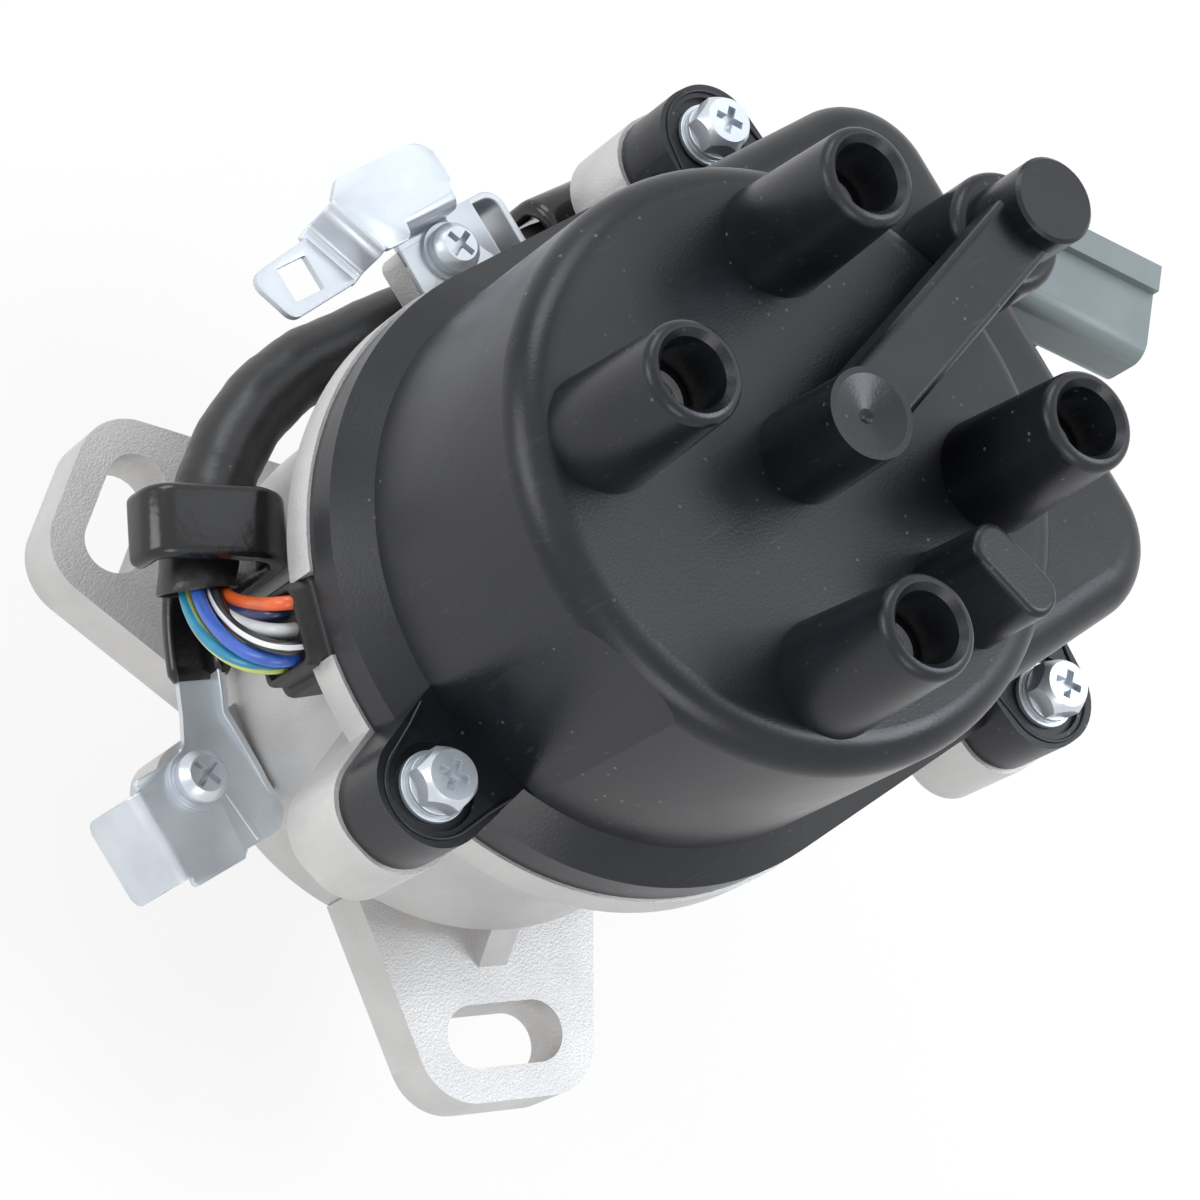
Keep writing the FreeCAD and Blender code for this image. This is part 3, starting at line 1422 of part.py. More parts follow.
def harness_path(inset):
    """Round the bowl, in closer to the wall, then straight past the coil chamber."""
    radius = D.harness_circle.number
    height = D.harness_height.number
    bend = D.harness_bend.number
    centre, line_start, ahead = harness_line()
    inset_angle = math.degrees(inset / radius)
    first = math.radians(D.mouth_angle.number - inset_angle)
    turn = math.radians(D.harness_turn.number)
    last = math.radians(90 - D.harness_lean.number)
    wide = [V(radius * math.cos(angle), radius * math.sin(angle), height)
            for angle in (first, (first + turn) / 2, turn)]
    close = [centre + V(bend * math.cos(angle), bend * math.sin(angle), 0)
             for angle in (turn, (turn + last) / 2, last)]
    return Part.Wire([Part.Arc(*wide).toShape(), Part.Arc(*close).toShape(),
                      Part.LineSegment(close[2],
                                       harness_point(D.sleeve_end.number - inset)).toShape()])


def wire_bundle():
    inner = D.sleeve_radius.number - D.sleeve_wall.number
    return swept(harness_path(D.bundle_inset.number), inner - 0.3)


def harness_sleeve():
    radius = D.sleeve_radius.number
    path = harness_path(0)
    sleeve = swept(path, radius).cut(swept(path, radius - D.sleeve_wall.number))
    shape_part("HarnessSleeve", sleeve, "harness_sleeve")
    shape_part("WireBundle", wire_bundle(), "sleeved_wire_bundle")


def local_point(angle, radius, height, along=0.0):
    """A point at an angle and radius, moved along the circle."""
    turn = math.radians(angle)
    return V(radius * math.cos(turn) - along * math.sin(turn),
             radius * math.sin(turn) + along * math.cos(turn), height)


def carried_frames(points, side):
    """For each run of a route its direction, and a side and a top carried along it."""
    frames = []
    for before, after in zip(points, points[1:]):
        ahead = (after - before).normalize()
        if frames:
            side = FreeCAD.Rotation(frames[-1][0], ahead).multVec(side)
        side = (side - ahead * side.dot(ahead)).normalize()
        frames.append((ahead, side, side.cross(ahead)))
    return frames


def mitred(points, frames, number, across, above):
    """Corner of a route that runs beside another at a constant distance."""
    ahead, side, top = frames[number - 1]
    offset = side * across + top * above
    plane = ahead + frames[number][0]
    return points[number] + offset - ahead * (offset.dot(plane) / ahead.dot(plane))


def grommet_wires():
    """Seven coloured wires that leave the sleeve, twist a little and enter the grommet.

    Each has a seat in the sleeve, outward and up, and one in the grommet, along and up.
    """
    wires = {
        "wire_orange": ((-2.6, 1.7), (-2.8, 3.0)),
        "wire_navy": ((-2.2, -1.3), (-2.6, -0.6)),
        "wire_grey": ((-0.4, 0.5), (0.2, 1.2)),
        "wire_black_white": ((-0.75, 2.9), (2.9, 2.9)),
        "wire_blue": ((1.5, 2.5), (3.6, -0.1)),
        "wire_yellow_green": ((1.3, -0.9), (0.8, -2.4)),
        "wire_teal": ((3.3, -0.2), (3.4, -3.6)),
    }
    circle = D.harness_circle.number
    level = D.harness_height.number
    mouth = D.mouth_angle.number
    entry_angle = D.grommet_angle.number
    entry = local_point(entry_angle, D.grommet_face.number, D.grommet_entry.number)
    outward = local_point(entry_angle, 1, 0)
    along = local_point(entry_angle, 0, 0, 1)
    inset = math.degrees(D.bundle_inset.number / circle)
    centres = [local_point(mouth - inset, circle, level),
               local_point(mouth, circle, level, 2),
               V(-46.6, 22.65, level + 1.5), V(-53.5, 21, level + 17),
               entry + outward * 4.6 - UP * 0.5, entry]
    frames = carried_frames(centres, local_point(mouth - inset, 1, 0))
    twist = -84
    turns = (0, 0, 0.36 * twist, 0.72 * twist, twist)
    seated = 0.4
    width = D.grommet_width.number
    face = Part.makeBox(10, width, 16, V(D.grommet_face.number - 10, -width / 2,
                                         D.grommet_bottom.number))
    face.rotate(ORIGIN, UP, entry_angle)
    ends = [wire_bundle(), face]
    for number, (name, (seat, goal)) in enumerate(wires.items()):
        points = [centres[0] + frames[0][1] * seat[0] + frames[0][2] * seat[1]
                  - frames[0][0] * seated]
        target = along * goal[0] + UP * goal[1]
        for corner in range(1, 5):
            turn = math.radians(turns[corner])
            across = seat[0] * math.cos(turn) - seat[1] * math.sin(turn)
            above = seat[0] * math.sin(turn) + seat[1] * math.cos(turn)
            if corner == 4:
                across += 0.38 * (target.dot(frames[4][1]) - across)
                above += 0.38 * (target.dot(frames[4][2]) - above)
            points.append(mitred(centres, frames, corner, across, above))
        points.append(entry + target - outward * seated)
        tube(f"Wire{number}", name, points, D.wire_radius.number, ends)


def grommet():
    """Rubber block in the notch of the wall, with a collar outside and one inside."""
    half = D.grommet_width / 2
    bottom = D.grommet_bottom
    inner = D.bowl_radius - D.bowl_wall
    neck = block("GrommetNeck", (inner + 0.2, -half, bottom),
                 (D.grommet_face, half, D.rim_height - D.seal_height), D.grommet_angle)
    collar = block("GrommetCollar",
                   (D.bowl_radius + 0.3, -half - D.grommet_collar, bottom - D.grommet_collar),
                   (D.bowl_radius + 4.5, half + D.grommet_collar,
                    D.rim_height - D.rim_thick - 0.1), D.grommet_angle)
    keep(fused("Grommet", neck, collar), "harness_grommet")


def connector_wires():
    """Four leads from the sleeve's far end, round the coil chamber to the connector."""
    centre, line_start, along = harness_line()
    start = harness_point(D.sleeve_end.number - D.bundle_inset.number)
    turn = math.radians(D.plug_angle.number)
    ahead = V(math.cos(turn), math.sin(turn), 0)
    rear = V(D.plug_x.number, D.plug_y.number,
             D.plug_bottom.number + D.plug_height.number / 2)
    corner_x = D.flange_far.number + 7
    route = [start - along * 0.4, start + along * 11,
             V(corner_x, start.y - 2.5, start.z + 9), V(corner_x + 3.5, start.y - 11, start.z + 23),
             rear - ahead * 14 + V(2, 4, -9), rear - ahead * 6, rear]
    names = ("lead_red", "lead_white", "lead_black", "lead_blue")
    seats = ((-1.2, 1.2), (1.2, 1.2), (-1.2, -1.2), (1.2, -1.2))
    frames = carried_frames(route, V(0, 1, 0))
    for number, (name, (across, above)) in enumerate(zip(names, seats)):
        points = [route[0] + frames[0][1] * across + frames[0][2] * above]
        points += [mitred(route, frames, corner, across, above)
                   for corner in range(1, len(route) - 1)]
        points.append(route[-1] + frames[-1][1] * across + frames[-1][2] * above)
        tube(f"Lead{number}", name, points, D.lead_wire_radius.number, [wire_bundle()])


# Brackets

def hook_frame():
    """Gap between the centre of the harness and the steel of a hook over it."""
    return D.sleeve_radius + D.hook_clearance + D.dip_thick


def hook_section(name, corners, bends, length):
    """A hook's band, pushed along Y from the XZ plane and bent at some corners."""
    body = padded(name, corners, -length / 2, length, plane="XZ_Plane")
    doc.recompute()
    for number, radius in bends:
        x, z = (as_size(value).number for value in corners[number])
        round_edges(body, edges_near(body.Tip.Shape, [(x, 0, z)], V(0, 1, 0)), radius)
    return body


def sector(name, inner, outer, first, last, bottom, height):
    """Part of a ring between two angles."""
    reach = outer * 1.3
    wedge = padded(f"{name}Wedge", [
        (0, 0), (reach * cosine(first), reach * sine(first)),
        (reach * cosine(last), reach * sine(last))], bottom - 1, height + 2)
    return shared(name, ring(f"{name}Ring", inner, outer, bottom, height), wedge)


def lower_hook(name, coat):
    """The lower bracket's hook, with a leg down beside the wall, grown by its coating."""
    thick = D.sheet_thick + 2 * as_size(coat)
    top = hook_frame() - coat
    outer = D.hook_one_outer - coat
    inner = D.hook_one_inner - coat
    lip = D.hook_one_lip + coat
    foot = D.harness_height - D.lower_boss_top + coat
    bend = as_size(3)
    corners = [(outer, -lip), (outer + thick, -lip), (outer + thick, top + thick),
               (-inner - thick, top + thick), (-inner - thick, -foot), (-inner, -foot),
               (-inner, top), (outer, top)]
    bends = [(2, bend + thick), (3, bend + thick), (6, bend), (7, bend)]
    body = hook_section(name, corners, bends, D.hook_one_width + 2 * as_size(coat))
    angle = D.hook_one_angle
    return place(body, D.harness_circle * cosine(angle), D.harness_circle * sine(angle),
                 D.harness_height, angle + D.hook_one_skew)


def lower_bracket():
    """Folded plate with a tab down, and an arm along the wall to a hook on the harness."""
    thick = D.sheet_thick
    base = D.lower_boss_top
    x = -D.lower_boss_reach
    y = D.lower_boss_y
    far = x - D.lower_plate_far
    near = x + D.lower_plate_near
    low = y - D.lower_plate_low
    corners = [(far, y + D.lower_plate_high), (far, low), (x - 0.5, low), (x + 1.4, low + 0.8),
               (near, low + 0.8), (near, y + 3.4), (x + 2.8, y + 3.8)]
    plate = padded("LowerPlate", corners, base, thick)
    round_corners(plate, [corners[4]], 3.2)
    tab = block("LowerTab", (far, low + 1, base + thick - D.lower_tab_drop),
                (far + thick, y + D.lower_plate_high - 1, base + thick))
    inner = D.bowl_radius + D.cap_step
    lip = base + thick + D.arm_lip
    strip = sector("ArmStrip", inner, inner + D.arm_strip_width, D.arm_strip_end,
                   D.arm_strip_start, base, thick)
    edge = sector("ArmEdge", inner, inner + thick, D.arm_strip_end, D.arm_strip_start, base,
                  lip - base)
    turned_up = block("PlateEdge", (near - thick, low + 4, base), (near, y + 3, lip - 1))
    hole = cylinder("LowerPlateHole", D.bracket_screw_radius + D.screw_clearance, 6,
                    x, y, base - 1)
    steel = keep(without("LowerBracket", fused("LowerSteel", plate, tab, strip, edge, turned_up,
                                               lower_hook("LowerHook", 0)), hole),
                 "lower_bracket")
    coat = D.dip_thick
    spread = 1
    dip_strip = sector("DipStrip", inner - coat, inner + D.arm_strip_width + coat,
                       D.arm_strip_end - spread, D.dip_line, base - coat, thick + 2 * coat)
    dip_edge = sector("DipEdge", inner - coat, inner + thick + coat, D.arm_strip_end - spread,
                      D.dip_line, base - coat, lip - base + 2 * coat)
    keep(without("LowerHookDip", fused("LowerDip", lower_hook("LowerDipHook", D.dip_thick),
                                       dip_strip, dip_edge), steel), "lower_hook_coating")


def upper_hook(name, coat):
    """The upper bracket's hook, over the harness from the wall and down outside it."""
    thick = D.sheet_thick + 2 * as_size(coat)
    gap = hook_frame() - coat
    top = gap + thick
    inner = D.hook_two_lip + coat
    bend = as_size(3)
    corners = [(gap, -inner), (top, -inner), (top, top), (-inner, top), (-inner, gap),
               (gap, gap)]
    body = hook_section(name, corners, [(2, bend + thick), (5, bend)],
                        D.hook_two_width + 2 * as_size(coat))
    x = D.hook_two_start + D.hook_two_width / 2
    centre = harness_point(x.number)
    return place(body, x, D.harness_circle + (centre.y - D.harness_circle.number),
                 D.harness_height, 90 - D.harness_lean)


def upper_hook_top():
    """Level of the underside of the upper hook's steel, over the harness."""
    return D.harness_height + hook_frame()


def upper_bracket():
    """Plate with a raised shade, a tab with a square hole, and a strip on edge to a hook."""
    thick = D.sheet_thick
    base = D.upper_boss_top
    x = D.upper_boss_x
    y = D.upper_boss_y
    left = x - D.upper_plate_left
    high = y + D.upper_plate_high
    plate = block("UpperPlate", (left, y - D.upper_plate_low, base),
                  (x + D.upper_plate_right, high, base + thick))
    rise = base + D.shade_rise
    right = x + D.shade_right
    riser = block("ShadeRiser", (left, high - thick, base), (right, high, rise + thick))
    fold = y + 3.8
    corner = (x - D.shade_left, y + 13.8)
    root = (x - D.shade_left + 4.1, fold)
    back = y + D.shade_high
    shade = padded("Shade", [root, (left, fold), (left, high - thick), (right, high - thick),
                             (right, back), (corner[0] + 2.9, back), corner], rise, thick)
    round_corners(shade, [(right, back)], D.shade_round)
    step = padded("ShadeStep", [corner, root, (root[0] + 1.1, fold + 0.45),
                                (corner[0] + 1.1, corner[1] + 0.45)], base, rise + thick - base)
    tip = x - D.hole_tab_reach
    tab_corners = [(tip + 3.2, y + 1.3), (root[0] + 0.5, y + 3), (corner[0] + 0.8, y + 12.2),
                   (tip, y + 9.7)]
    tab = padded("HoleTab", tab_corners, base, thick)
    round_corners(tab, [tab_corners[0], tab_corners[3]], 1.8)
    hole_x = x - D.square_hole_x
    hole_y = y + D.square_hole_y
    half = D.square_hole / 2
    window = block("SquareHole", (hole_x - half, hole_y - half, base - 1),
                   (hole_x + half, hole_y + half, base + thick + 1))
    bottom = upper_hook_top()
    top = base + thick
    far = x + D.loop_reach
    front = y - D.loop_low
    rear_wall = block("LoopRear", (x + D.loop_start, high - thick, bottom), (far, high, top))
    side_wall = block("LoopSide", (far - thick, front, bottom), (far, high, top))
    strip = block("LoopStrip", (far - thick, front, bottom),
                  (D.hook_two_start + 0.6, front + thick, top))
    hole = cylinder("UpperPlateHole", D.bracket_screw_radius + D.screw_clearance, 6,
                    x, y, base - 1)
    steel = keep(without("UpperBracket", fused("UpperSteel", plate, riser, shade, step, tab,
                                               rear_wall, side_wall, strip,
                                               upper_hook("UpperHook", 0)), window, hole),
                 "upper_bracket")
    keep(without("UpperHookDip", upper_hook("UpperDipHook", D.dip_thick), steel),
         "upper_hook_coating")


def bracket_screws():
    """Pan head screws with a cross recess, and their washers."""
    screws, washers = [], []
    places = [(x, y, top + D.sheet_thick) for x, y, top in bracket_screw_places()]
    for number, (x, y, seat) in enumerate(places):
        washer = ring(f"BracketWasher{number}", D.bracket_screw_radius + D.screw_clearance,
                      D.bracket_washer_radius, seat, D.bracket_washer_thick)
        washers.append(place(washer, x, y))
        under = seat + D.bracket_washer_thick
        shank = cylinder(f"PanShank{number}", D.bracket_screw_radius,
                         D.bracket_screw_reach, x, y,
                         under - D.bracket_screw_reach)
        head = revolved(f"PanHead{number}", [
            (0, under), (D.pan_radius, under), (D.pan_radius, under + D.pan_height * 0.55),
            (D.pan_radius * 0.7, under + D.pan_height), (0, under + D.pan_height)])
        place(head, x, y)
        cross = []
        for way in range(2):
            turn = 25 + 90 * way
            bar = doc.addObject("Part::Box", f"PanCross{number}{way}")
            bind(bar, Length=D.pan_radius * 1.2, Width=1, Height=2)
            cross.append(place(bar, x - D.pan_radius * 0.6 * cosine(turn) + 0.5 * sine(turn),
                               y - D.pan_radius * 0.6 * sine(turn) - 0.5 * cosine(turn),
                               under + D.pan_height - 1.4, turn))
        screws.append(without(f"PanScrew{number}", fused(f"PanSolid{number}", shank, head),
                              *cross))
    z = arm_screw_height()
    face = D.chamber_far + D.sheet_thick
    arm_shank = cylinder("ArmShank", D.bracket_screw_radius, D.bowl_wall + D.sheet_thick,
                         D.chamber_far - D.bowl_wall, D.arm_centre, z, 90, V(0, 1, 0))
    arm_head = cylinder("ArmHead", D.pan_radius, D.pan_height, face, D.arm_centre, z,
                        90, V(0, 1, 0))
    screws.append(fused("ArmScrew", arm_shank, arm_head))
    keep(group("BracketScrews", *screws, *washers), "bracket_screws")


def connector_bracket():
    """Strip folded from the chamber's far wall out and up to a shelf."""
    thick = D.sheet_thick
    low = D.arm_centre - D.arm_width / 2
    high = D.arm_centre + D.arm_width / 2
    wall = D.chamber_far
    foot = block("ArmFoot", (wall, low, D.arm_foot_bottom), (wall + thick, high, D.arm_shelf))
    shelf = block("ArmShelf", (wall, low, D.arm_shelf - thick), (D.arm_riser, high, D.arm_shelf))
    riser = block("ArmRiser", (D.arm_riser - thick, low, D.arm_shelf - thick),
                  (D.arm_riser, high, D.plug_bottom))
    top = block("ArmTop", (D.arm_riser - thick, low, D.plug_bottom - thick),
                (D.arm_end, high, D.plug_bottom))
    hole = cylinder("ArmPlateHole", D.bracket_screw_radius, thick + 2, wall - 1, D.arm_centre,
                    arm_screw_height(), 90, V(0, 1, 0))
    keep(without("ConnectorBracket", fused("ArmSolid", foot, shelf, riser, top), hole),
         "connector_bracket")


def plug_block(name, start, side_low, bottom, end, side_high, top):
    """A box in the connector's own frame, from its rear face forward."""
    return local_block(name, (start, side_low, bottom), (end, side_high, top),
                       D.plug_x, D.plug_y, D.plug_angle)


def connector():
    """Gray plug housing with a raised key along one side and four blades."""
    half = D.plug_width / 2
    bottom = D.plug_bottom
    top = bottom + D.plug_height
    corners = [(-half, bottom), (half, bottom), (half, top), (-half, top)]
    shell = padded("PlugShell", corners, 0, D.plug_length, plane="YZ_Plane")
    doc.recompute()
    names = [f"Edge{number}" for number, edge in enumerate(shell.Tip.Shape.Edges, start=1)
             if edge.BoundBox.XLength > 5]
    round_edges(shell, names, D.plug_round)
    place(shell, D.plug_x, D.plug_y, 0, D.plug_angle)
    key = plug_block("PlugKey", 0, half - D.plug_rib_width - 1, top - 1, D.plug_length,
                     half - 1, top + D.plug_rib)
    wall = D.socket_wall
    socket = plug_block("PlugSocket", D.plug_length - D.socket_depth, wall - half,
                        bottom + wall, D.plug_length + 1, half - wall, top - wall)
    keep(without("Connector", fused("PlugSolid", shell, key), socket), "connector_housing")
    blades = []
    for number in range(4):
        side = (number - 1.5) * D.blade_pitch * 0.85
        middle = bottom + D.plug_height / 2
        blades.append(plug_block(f"Blade{number}", D.plug_length - D.socket_depth,
                                 side - D.blade_width / 2, middle - D.blade_thick / 2,
                                 D.plug_length - D.blade_depth, side + D.blade_width / 2,
                                 middle + D.blade_thick / 2))
    keep(group("ConnectorBlades", *blades), "connector_blades")


# Build, test and write

housing()
pilot_ring()
shaft_bush()
oil_seal()
bearing()
retainer_screws = bearing_retainer()
shaft()
thrust_washer()
drive_coupling()
reluctors()
pickups()
igniter_screws = igniter()
keep(group("InnerScrews", *retainer_screws, *igniter_screws), "inner_screws")
ignition_coil()
distributor_cap()
cap_seal()
plug_terminals()
washered_screws()
dust_shield()
rotor()
carbon_brush()
harness_sleeve()
grommet_wires()
grommet()
connector_wires()
lower_bracket()
upper_bracket()
bracket_screws()
connector_bracket()
connector()

doc.recompute()
for item in doc.Objects:
    if "Invalid" in item.State or "Error" in item.State:
        raise RuntimeError(f"{item.Label} failed: {item.State}")
os.makedirs("parts", exist_ok=True)
for item in sub_parts:
    if item.Shape.isNull() or not item.Shape.isValid() or not item.Shape.Solids:
        raise RuntimeError(f"{item.Label} has no valid solid")
for item in sub_parts:
    item.Shape.exportStep(f"parts/{item.Label}.step")
print(len(sub_parts), "sub-parts written")
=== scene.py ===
import math

import bmesh
import bpy
from mathutils import Matrix, Vector


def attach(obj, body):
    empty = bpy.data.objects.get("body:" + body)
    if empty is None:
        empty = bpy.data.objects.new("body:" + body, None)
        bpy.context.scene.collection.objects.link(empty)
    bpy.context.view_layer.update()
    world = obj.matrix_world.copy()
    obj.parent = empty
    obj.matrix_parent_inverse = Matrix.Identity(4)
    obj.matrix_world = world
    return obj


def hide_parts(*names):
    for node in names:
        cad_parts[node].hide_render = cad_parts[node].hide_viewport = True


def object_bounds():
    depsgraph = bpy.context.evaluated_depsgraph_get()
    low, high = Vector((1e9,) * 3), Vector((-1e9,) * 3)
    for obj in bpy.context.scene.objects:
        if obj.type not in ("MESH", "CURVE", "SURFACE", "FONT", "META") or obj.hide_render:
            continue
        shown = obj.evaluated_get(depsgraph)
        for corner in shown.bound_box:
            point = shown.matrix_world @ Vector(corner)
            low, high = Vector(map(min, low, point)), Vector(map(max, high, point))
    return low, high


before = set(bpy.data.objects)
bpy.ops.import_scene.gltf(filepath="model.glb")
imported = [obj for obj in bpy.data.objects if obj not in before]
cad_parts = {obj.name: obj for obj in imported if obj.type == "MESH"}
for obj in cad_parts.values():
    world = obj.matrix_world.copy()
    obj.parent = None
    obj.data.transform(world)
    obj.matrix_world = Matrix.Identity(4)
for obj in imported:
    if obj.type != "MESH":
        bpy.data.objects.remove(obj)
cad_box = [list(corner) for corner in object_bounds()]
scene = bpy.context.scene
scene.view_settings.view_transform = "Standard"
MM = 0.001
UP = Vector((0, 0, 1))

# Lengths are millimetres and angles degrees, except where a name says otherwise
CAMERA_PLACE = Vector((-329.2, -4.5, 496.7))
CAMERA_RIGHT = Vector((0.6883, -0.5149, 0.5111))
CAMERA_UP = Vector((0.4107, 0.8573, 0.3105))
LENS_LENGTH = 114.9
SENSOR_WIDTH = 36


# Camera at the photograph's viewpoint

def set_camera():
    data = bpy.data.cameras.new("camera")
    data.lens = LENS_LENGTH
    data.sensor_width = SENSOR_WIDTH
    data.clip_end = 10
    camera = bpy.data.objects.new("camera", data)
    scene.collection.objects.link(camera)
    right = CAMERA_RIGHT.normalized()
    up = (CAMERA_UP - right * CAMERA_UP.dot(right)).normalized()
    back = right.cross(up)
    turn = Matrix((right, up, back)).transposed().to_4x4()
    camera.matrix_world = Matrix.Translation(CAMERA_PLACE * MM) @ turn
    scene.camera = camera


set_camera()


# Shared effects, each a node group with its own values in every material

def add(nodes, kind, place=(0, 0), **values):
    node = nodes.new(kind)
    node.location = place
    for name, value in values.items():
        setattr(node, name, value)
    return node


def socket(group, name, direction, kind="NodeSocketFloat", value=None):
    made = group.interface.new_socket(name=name, in_out=direction, socket_type=kind)
    if value is not None:
        made.default_value = value


def grain_group():
    """Fine and coarse grain of a casting or moulding, as a height and a colour mask."""
    group = bpy.data.node_groups.new("Grain", "ShaderNodeTree")
    socket(group, "Fine Scale", "INPUT", value=2600)
    socket(group, "Coarse Scale", "INPUT", value=300)
    socket(group, "Coarse Share", "INPUT", value=0.4)
    socket(group, "Height", "OUTPUT")
    socket(group, "Mask", "OUTPUT")
    nodes, links = group.nodes, group.links
    given = add(nodes, "NodeGroupInput", (-800, 0))
    made = add(nodes, "NodeGroupOutput", (500, 0))
    place = add(nodes, "ShaderNodeTexCoord", (-800, 200))
    fine = add(nodes, "ShaderNodeTexNoise", (-500, 200))
    fine.inputs["Detail"].default_value = 3
    coarse = add(nodes, "ShaderNodeTexNoise", (-500, -100))
    coarse.inputs["Detail"].default_value = 5
    mix = add(nodes, "ShaderNodeMix", (0, 0), data_type="FLOAT")
    for texture, scale in ((fine, "Fine Scale"), (coarse, "Coarse Scale")):
        links.new(place.outputs["Object"], texture.inputs["Vector"])
        links.new(given.outputs[scale], texture.inputs["Scale"])
    links.new(given.outputs["Coarse Share"], mix.inputs["Factor"])
    links.new(fine.outputs["Fac"], mix.inputs["A"])
    links.new(coarse.outputs["Fac"], mix.inputs["B"])
    links.new(mix.outputs["Result"], made.inputs["Height"])
    links.new(coarse.outputs["Fac"], made.inputs["Mask"])
    return group


def marks_group():
    """Thin scuffs in random directions and specks of dust, as masks."""
    group = bpy.data.node_groups.new("Marks", "ShaderNodeTree")
    socket(group, "Scuff Amount", "INPUT", value=0.5)
    socket(group, "Dust Amount", "INPUT", value=0.5)
    socket(group, "Scuffs", "OUTPUT")
    socket(group, "Dust", "OUTPUT")
    nodes, links = group.nodes, group.links
    given = add(nodes, "NodeGroupInput", (-1200, 0))
    made = add(nodes, "NodeGroupOutput", (900, 0))
    place = add(nodes, "ShaderNodeTexCoord", (-1200, 300))
    total = None
    for number, (turn, stretch) in enumerate((((0.3, 0.5, 0.9), (60, 900, 240)),
                                              ((1.1, 0.2, 2.2), (90, 1300, 300)))):
        mapping = add(nodes, "ShaderNodeMapping", (-900, 300 - 300 * number))
        mapping.inputs["Rotation"].default_value = turn
        mapping.inputs["Scale"].default_value = stretch
        texture = add(nodes, "ShaderNodeTexNoise", (-650, 300 - 300 * number))
        texture.inputs["Scale"].default_value = 1
        texture.inputs["Detail"].default_value = 4
        texture.inputs["Distortion"].default_value = 0.6
        ramp = add(nodes, "ShaderNodeMapRange", (-400, 300 - 300 * number))
        ramp.inputs["From Min"].default_value = 0.66
        ramp.inputs["From Max"].default_value = 0.76
        links.new(place.outputs["Object"], mapping.inputs["Vector"])
        links.new(mapping.outputs["Vector"], texture.inputs["Vector"])
        links.new(texture.outputs["Fac"], ramp.inputs["Value"])
        if total is None:
            total = ramp.outputs["Result"]
        else:
            both = add(nodes, "ShaderNodeMath", (0, 100), operation="MAXIMUM")
            links.new(total, both.inputs[0])
            links.new(ramp.outputs["Result"], both.inputs[1])
            total = both.outputs["Value"]
    scaled = add(nodes, "ShaderNodeMath", (300, 100), operation="MULTIPLY")
    links.new(total, scaled.inputs[0])
    links.new(given.outputs["Scuff Amount"], scaled.inputs[1])
    links.new(scaled.outputs["Value"], made.inputs["Scuffs"])
    specks = add(nodes, "ShaderNodeTexVoronoi", (-650, -300))
    specks.inputs["Scale"].default_value = 420
    near = add(nodes, "ShaderNodeMapRange", (-400, -300))
    near.inputs["From Min"].default_value = 0.13
    near.inputs["From Max"].default_value = 0.05
    where = add(nodes, "ShaderNodeTexNoise", (-650, -600))
    where.inputs["Scale"].default_value = 45
    gate = add(nodes, "ShaderNodeMapRange", (-400, -600))
    gate.inputs["From Min"].default_value = 0.5
    gate.inputs["From Max"].default_value = 0.65
    dust = add(nodes, "ShaderNodeMath", (0, -400), operation="MULTIPLY")
    amount = add(nodes, "ShaderNodeMath", (300, -400), operation="MULTIPLY")
    links.new(place.outputs["Object"], specks.inputs["Vector"])
    links.new(place.outputs["Object"], where.inputs["Vector"])
    links.new(specks.outputs["Distance"], near.inputs["Value"])
    links.new(where.outputs["Fac"], gate.inputs["Value"])
    links.new(near.outputs["Result"], dust.inputs[0])
    links.new(gate.outputs["Result"], dust.inputs[1])
    links.new(dust.outputs["Value"], amount.inputs[0])
    links.new(given.outputs["Dust Amount"], amount.inputs[1])
    links.new(amount.outputs["Value"], made.inputs["Dust"])
    return group


GRAIN = grain_group()
MARKS = marks_group()


def new_material(name, colour, roughness, metallic=0.0):
    material = bpy.data.materials.new(name)
    material.use_nodes = True
    nodes = material.node_tree.nodes
    shader = nodes["Principled BSDF"]
    shader.inputs["Base Color"].default_value = (*colour, 1)
    shader.inputs["Roughness"].default_value = roughness
    shader.inputs["Metallic"].default_value = metallic
    return material, nodes, material.node_tree.links, shader


def use_group(nodes, group, place=(-900, 0), **values):
    node = add(nodes, "ShaderNodeGroup", place, node_tree=group)
    for label, value in values.items():
        node.inputs[label.replace("_", " ")].default_value = value
    return node


def bump_from(nodes, links, shader, output, strength, distance):
    bump = add(nodes, "ShaderNodeBump", (-300, -400))
    bump.inputs["Strength"].default_value = strength
    bump.inputs["Distance"].default_value = distance
    links.new(output, bump.inputs["Height"])
    links.new(bump.outputs["Normal"], shader.inputs["Normal"])


def varied(nodes, links, shader, output, dark, light, label="Base Color"):
    """Colour or value that follows a mask between two levels."""
    ramp = add(nodes, "ShaderNodeMapRange", (-500, 200))
    ramp.inputs["From Min"].default_value = 0.35
    ramp.inputs["From Max"].default_value = 0.65
    links.new(output, ramp.inputs["Value"])
    if label == "Base Color":
        mix = add(nodes, "ShaderNodeMix", (-250, 200), data_type="RGBA")
        mix.inputs["A"].default_value = (*dark, 1)
        mix.inputs["B"].default_value = (*light, 1)
        links.new(ramp.outputs["Result"], mix.inputs["Factor"])
        links.new(mix.outputs["Result"], shader.inputs[label])
        return
    ramp.inputs["To Min"].default_value = dark
    ramp.inputs["To Max"].default_value = light
    links.new(ramp.outputs["Result"], shader.inputs[label])


def overlay(nodes, links, shader, mask, colour):
    """Lays a colour over whatever already colours the shader, where the mask says."""
    under = shader.inputs["Base Color"].links[0].from_socket
    mix = add(nodes, "ShaderNodeMix", (-80, 350), data_type="RGBA")
    links.new(under, mix.inputs["A"])
    mix.inputs["B"].default_value = (*colour, 1)
    links.new(mask, mix.inputs["Factor"])
    links.new(mix.outputs["Result"], shader.inputs["Base Color"])


